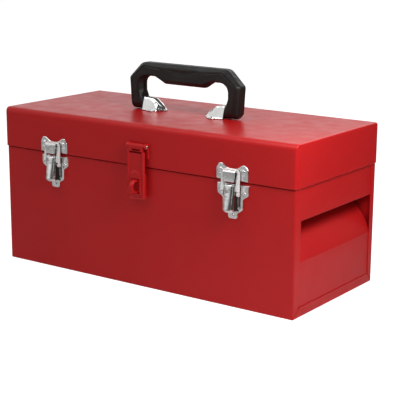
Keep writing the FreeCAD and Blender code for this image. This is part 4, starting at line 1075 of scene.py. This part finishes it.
def wrapSheet(b):
    half, side, rim = cornersOf("body_wrap")[1]
    bend = b["bendSide"]

    def profile(inset):
        # down the front, round under the base and up the back; the rim steps in under the lid
        zs = np.concatenate([[rim - 0.3, rim - 3, b["jogHigh"], b["jogLow"], b["jogLow"] - 0.8],
                             np.linspace(b["jogLow"] - 3, 14, 16), [11.5, 6, bend + 0.4]])
        jog = b["jog"] * (zs > b["jogHigh"] - 0.01)
        wall = np.stack([side - jog - inset, zs], 1)
        r = bend - inset
        arc = arcPoints(side - bend, bend, r, -np.linspace(0, np.pi / 2, 7))
        ys = np.linspace(side - bend - 0.6, -(side - bend - 0.6), 26)
        base = np.stack([ys, 0 * ys + inset], 1)
        right = np.concatenate([wall, arc])
        bends = len(wall) + np.arange(len(arc))
        return np.concatenate([right * [-1, 1], base * [-1, 1], right[::-1]]), bends

    outline, bends = profile(0)
    corner = np.zeros(len(outline), bool)
    corner[bends] = True
    corner |= corner[::-1]

    def pulled(points, turnIn, gap):
        # every point moved in from its own edge by a share of its flange's width
        lowest = turnIn * b["base"]
        nearest, farthest = -side + turnIn * b["front"], side - turnIn * b["back"]
        y, z = np.clip(points[:, 0], nearest, farthest), np.maximum(points[:, 1], lowest)
        onSide = (np.abs(points[:, 1]) > bend) & ~corner
        z = np.where(onSide, np.maximum(z, lowest + gap), z)
        y = np.where(~onSide & ~corner, np.clip(y, nearest + gap, farthest - gap), y)
        # both mitres end in a round relief hole
        for middle in (-side + b["front"], side - b["back"]):
            reach = np.hypot(y - middle, z - b["base"])
            push = np.maximum(b["relief"] / np.maximum(reach, 0.05), 1)
            y, z = middle + (y - middle) * push, b["base"] + (z - b["base"]) * push
        return np.stack([y, z], 1)

    def skin(inset):
        # rows from the flange's edge outwards, round the end bend and along to the other end
        own, r = profile(inset)[0], b["bendEnd"] - inset
        rows = [(half - inset, pulled(own, share, b["slit"])) for share in b["flangeRows"]]
        for t in np.linspace(0, np.pi / 2, 6)[::-1]:
            reach = inset + r * (1 - np.cos(t))
            flat = np.stack([np.clip(own[:, 0], reach - side, side - reach),
                             np.maximum(own[:, 1], reach)], 1)
            rows.append((half - b["bendEnd"] + r * np.sin(t), flat))
        run = half - b["bendEnd"] - 2
        rows += [(x, own) for x in np.linspace(run, -run, 60)]
        grid = np.array([np.column_stack([np.full(len(flat), x), flat]) for x, flat in rows])
        return np.concatenate([grid, grid[:-60][::-1] * [-1, 1, 1]])

    front, back = skin(0), skin(sheet)
    # no sheet between the flanges at the bends
    keep = np.ones((len(front) - 1, len(outline) - 1), bool)
    cut = corner[:-1] | corner[1:]
    count = len(b["flangeRows"])
    keep[:count, cut] = False
    keep[-count:, cut] = False
    makePiece("bodyWrapSheet", [sheetShell(front, back, keep)], "red_enamel", "body",
              ["body_wrap"], sharp=35)


lidSheet(box)
wrapSheet(box)
print("box ready")


tray = {
    "wall": 1.0, "corner": 5, "floorRound": 3, "lipRound": 6, "lipThick": 1.0, "lipEnd": 7.5,
    "lipUnder": 0.6,
    # the rolled rim, as (share of the wall from the outside in, depth below the top)
    "rim": ((0, 6), (0, 1.2), (0.15, 0.4), (0.5, 0), (0.85, 0.4), (1, 1.2), (1, 6)),
}
divider = {
    "bead": 0.54, "beadAt": 0.05, "half": 0.5, "shoulder": 58, "crest": 46, "slotHalf": 40,
    "slotLow": 16.2, "slotHigh": 2.8, "flat": 0.35,
    "shares": (0, 0.05, 0.12, 0.4, 0.7, 0.9, 0.97, 1),
}
hinge = {"knuckles": 13, "gap": 0.4, "round": 2.4, "leaf": 1.0, "leafEdge": 0.35, "leafEnd": 2.6}


def trayTub(t):
    low, high = cornersOf("tray_tub")
    reach, side, floor, rim = high[0], high[1], low[2], high[2]
    wide = min(reach, cornersOf("tray_divider")[1][0] + t["wall"])
    corner, r, wall = t["corner"], t["floorRound"], t["wall"]

    def ring(inset, lift):
        loop = roundedLoop(rectangle(inset - wide, inset - side, wide - inset, side - inset),
                           max(corner - inset, 0.4), 9)
        return np.column_stack([loop, np.full(len(loop), lift)])

    # up the outside, over a rolled rim, down the inside and across the floor
    turn = np.linspace(0, np.pi / 2, 6)[1:]
    inner = r - wall
    rows = [(inset, floor) for inset in (60, 20, r)]
    rows += [(r * (1 - np.sin(a)), floor + r * (1 - np.cos(a))) for a in turn]
    rows += [(wall * share, rim - drop) for share, drop in t["rim"]]
    rows += [(wall + inner * (1 - np.sin(a)), floor + wall + inner * (1 - np.cos(a)))
             for a in turn[::-1]]
    rows += [(inset, floor + wall) for inset in (r + 0.3, 20, 60)]
    shells = [roundShell(np.array([ring(*row) for row in rows]))]
    # the two end lips reach out over the shelves
    deep = side - t["lipEnd"]
    outline = evenLoop(rectangle(wide - t["lipUnder"], -deep, reach, deep),
                       [0.3, t["lipRound"], t["lipRound"], 0.3], 200)
    flat, height = pressedPlate(outline, outline.mean(0), t["lipThick"], 0.4, None, 10)
    for sx in (-1, 1):
        shells.append(roundShell(np.stack([sx * flat[..., 0], flat[..., 1],
                                           rim - t["lipThick"] + height], -1)))
    makePiece("trayTubPressed", shells, "red_enamel", "tray", ["tray_tub"], sharp=50)


def trayDivider(d):
    low, high = cornersOf("tray_divider")
    end, floor, crest, top = high[0], low[2], high[2], cornersOf("tray_tub")[1][2]
    half = [(end, floor), (end, top), (d["shoulder"], top), (d["crest"], crest)]
    outline = [(-end, floor)] + half + [(-x, z) for x, z in half[:0:-1]]
    outline = evenLoop(outline, [0.3, 0.3, 1, 8, 8, 8, 8, 1], 400, 9)
    slot = evenLoop(rectangle(-d["slotHalf"], top - d["slotLow"], d["slotHalf"],
                              top + d["slotHigh"]), 8, 400, 9)
    middle = slot.mean(0)

    def byAngle(loop):
        # the loop's points at even directions from the slot's middle, in a flattened view
        scaled = (loop - middle) / [1, d["flat"]]
        angle = np.arctan2(scaled[:, 1], scaled[:, 0])
        order = np.argsort(angle)
        at = np.linspace(-np.pi, np.pi, 401)[:-1]
        wrapped = np.concatenate([angle[order] + 2 * np.pi * turn for turn in (-1, 0, 1)])
        return np.stack([np.interp(at, wrapped, np.tile(loop[order, k], 3)) for k in (0, 1)], 1)

    # rows from the slot out to the edge; the rim of the slot is beaded, the edge is thinner
    o, i = byAngle(outline), byAngle(slot)
    share = np.array(d["shares"])[:, None]
    skin = i + (o - i) * share[..., None]
    thick = d["half"] * (1 - 0.5 * (share > 0.99))
    thick = thick + d["bead"] * np.exp(-((share - d["beadAt"]) / d["beadAt"]) ** 2)
    thick = np.broadcast_to(thick, skin.shape[:2])
    sides = [np.stack([skin[..., 0], sy * thick, skin[..., 1]], -1) for sy in (-1, 1)]
    makePiece("trayDividerPlate", [sheetShell(*sides, around=True)], "red_enamel", "tray",
              ["tray_divider"], sharp=50)


def hingeLeaf(h, name, node, body, first, up):
    # a leaf below the pin (up -1) or above it (up 1), with every second knuckle from the first
    out, z = axisOf("hinge_pin")
    y = -out
    low, high = cornersOf(node)
    half, plate, edge = high[0], low[1], low[2] if up < 0 else high[2]
    outline = evenLoop(rectangle(-half, edge, half, z + up * h["leafEnd"]), [2, 2, 0.3, 0.3], 300)
    flat, height = pressedPlate(outline, outline.mean(0), h["leaf"], h["leafEdge"], None, 6)
    shells = [roundShell(np.stack([flat[..., 0], plate + height, flat[..., 1]], -1))]
    # the strip that joins the leaf to a knuckle
    web = [(-plate, z + up * 3.2), (-plate - h["leaf"], z + up * 3.2), (out - 0.2, z + up * 1.9),
           (out + 1.9, z + up * 0.9), (-plate, z + up * 1.2)]
    web = evenLoop(web, 0.2, 40, 3)
    pitch = 2 * half / h["knuckles"]
    for k in range(first, h["knuckles"], 2):
        x0, x1 = -half + k * pitch + h["gap"] / 2, -half + (k + 1) * pitch - h["gap"] / 2
        shells.append(rodAlongX((y, z), h["round"], x0, x1, 28, 0.3))
        shells.append(webPlate(web, x1 - x0 - h["gap"], 0.2, 3, x0 + h["gap"] / 2))
    makePiece(name, shells, "red_enamel", body, [node], sharp=45)


trayTub(tray)
trayDivider(divider)
hingeLeaf(hinge, "hingeLeafLower", "hinge_leaf_body", "body", 0, -1)
hingeLeaf(hinge, "hingeLeafUpper", "hinge_leaf_lid", "lid", 1, 1)
print("tray and hinge ready")
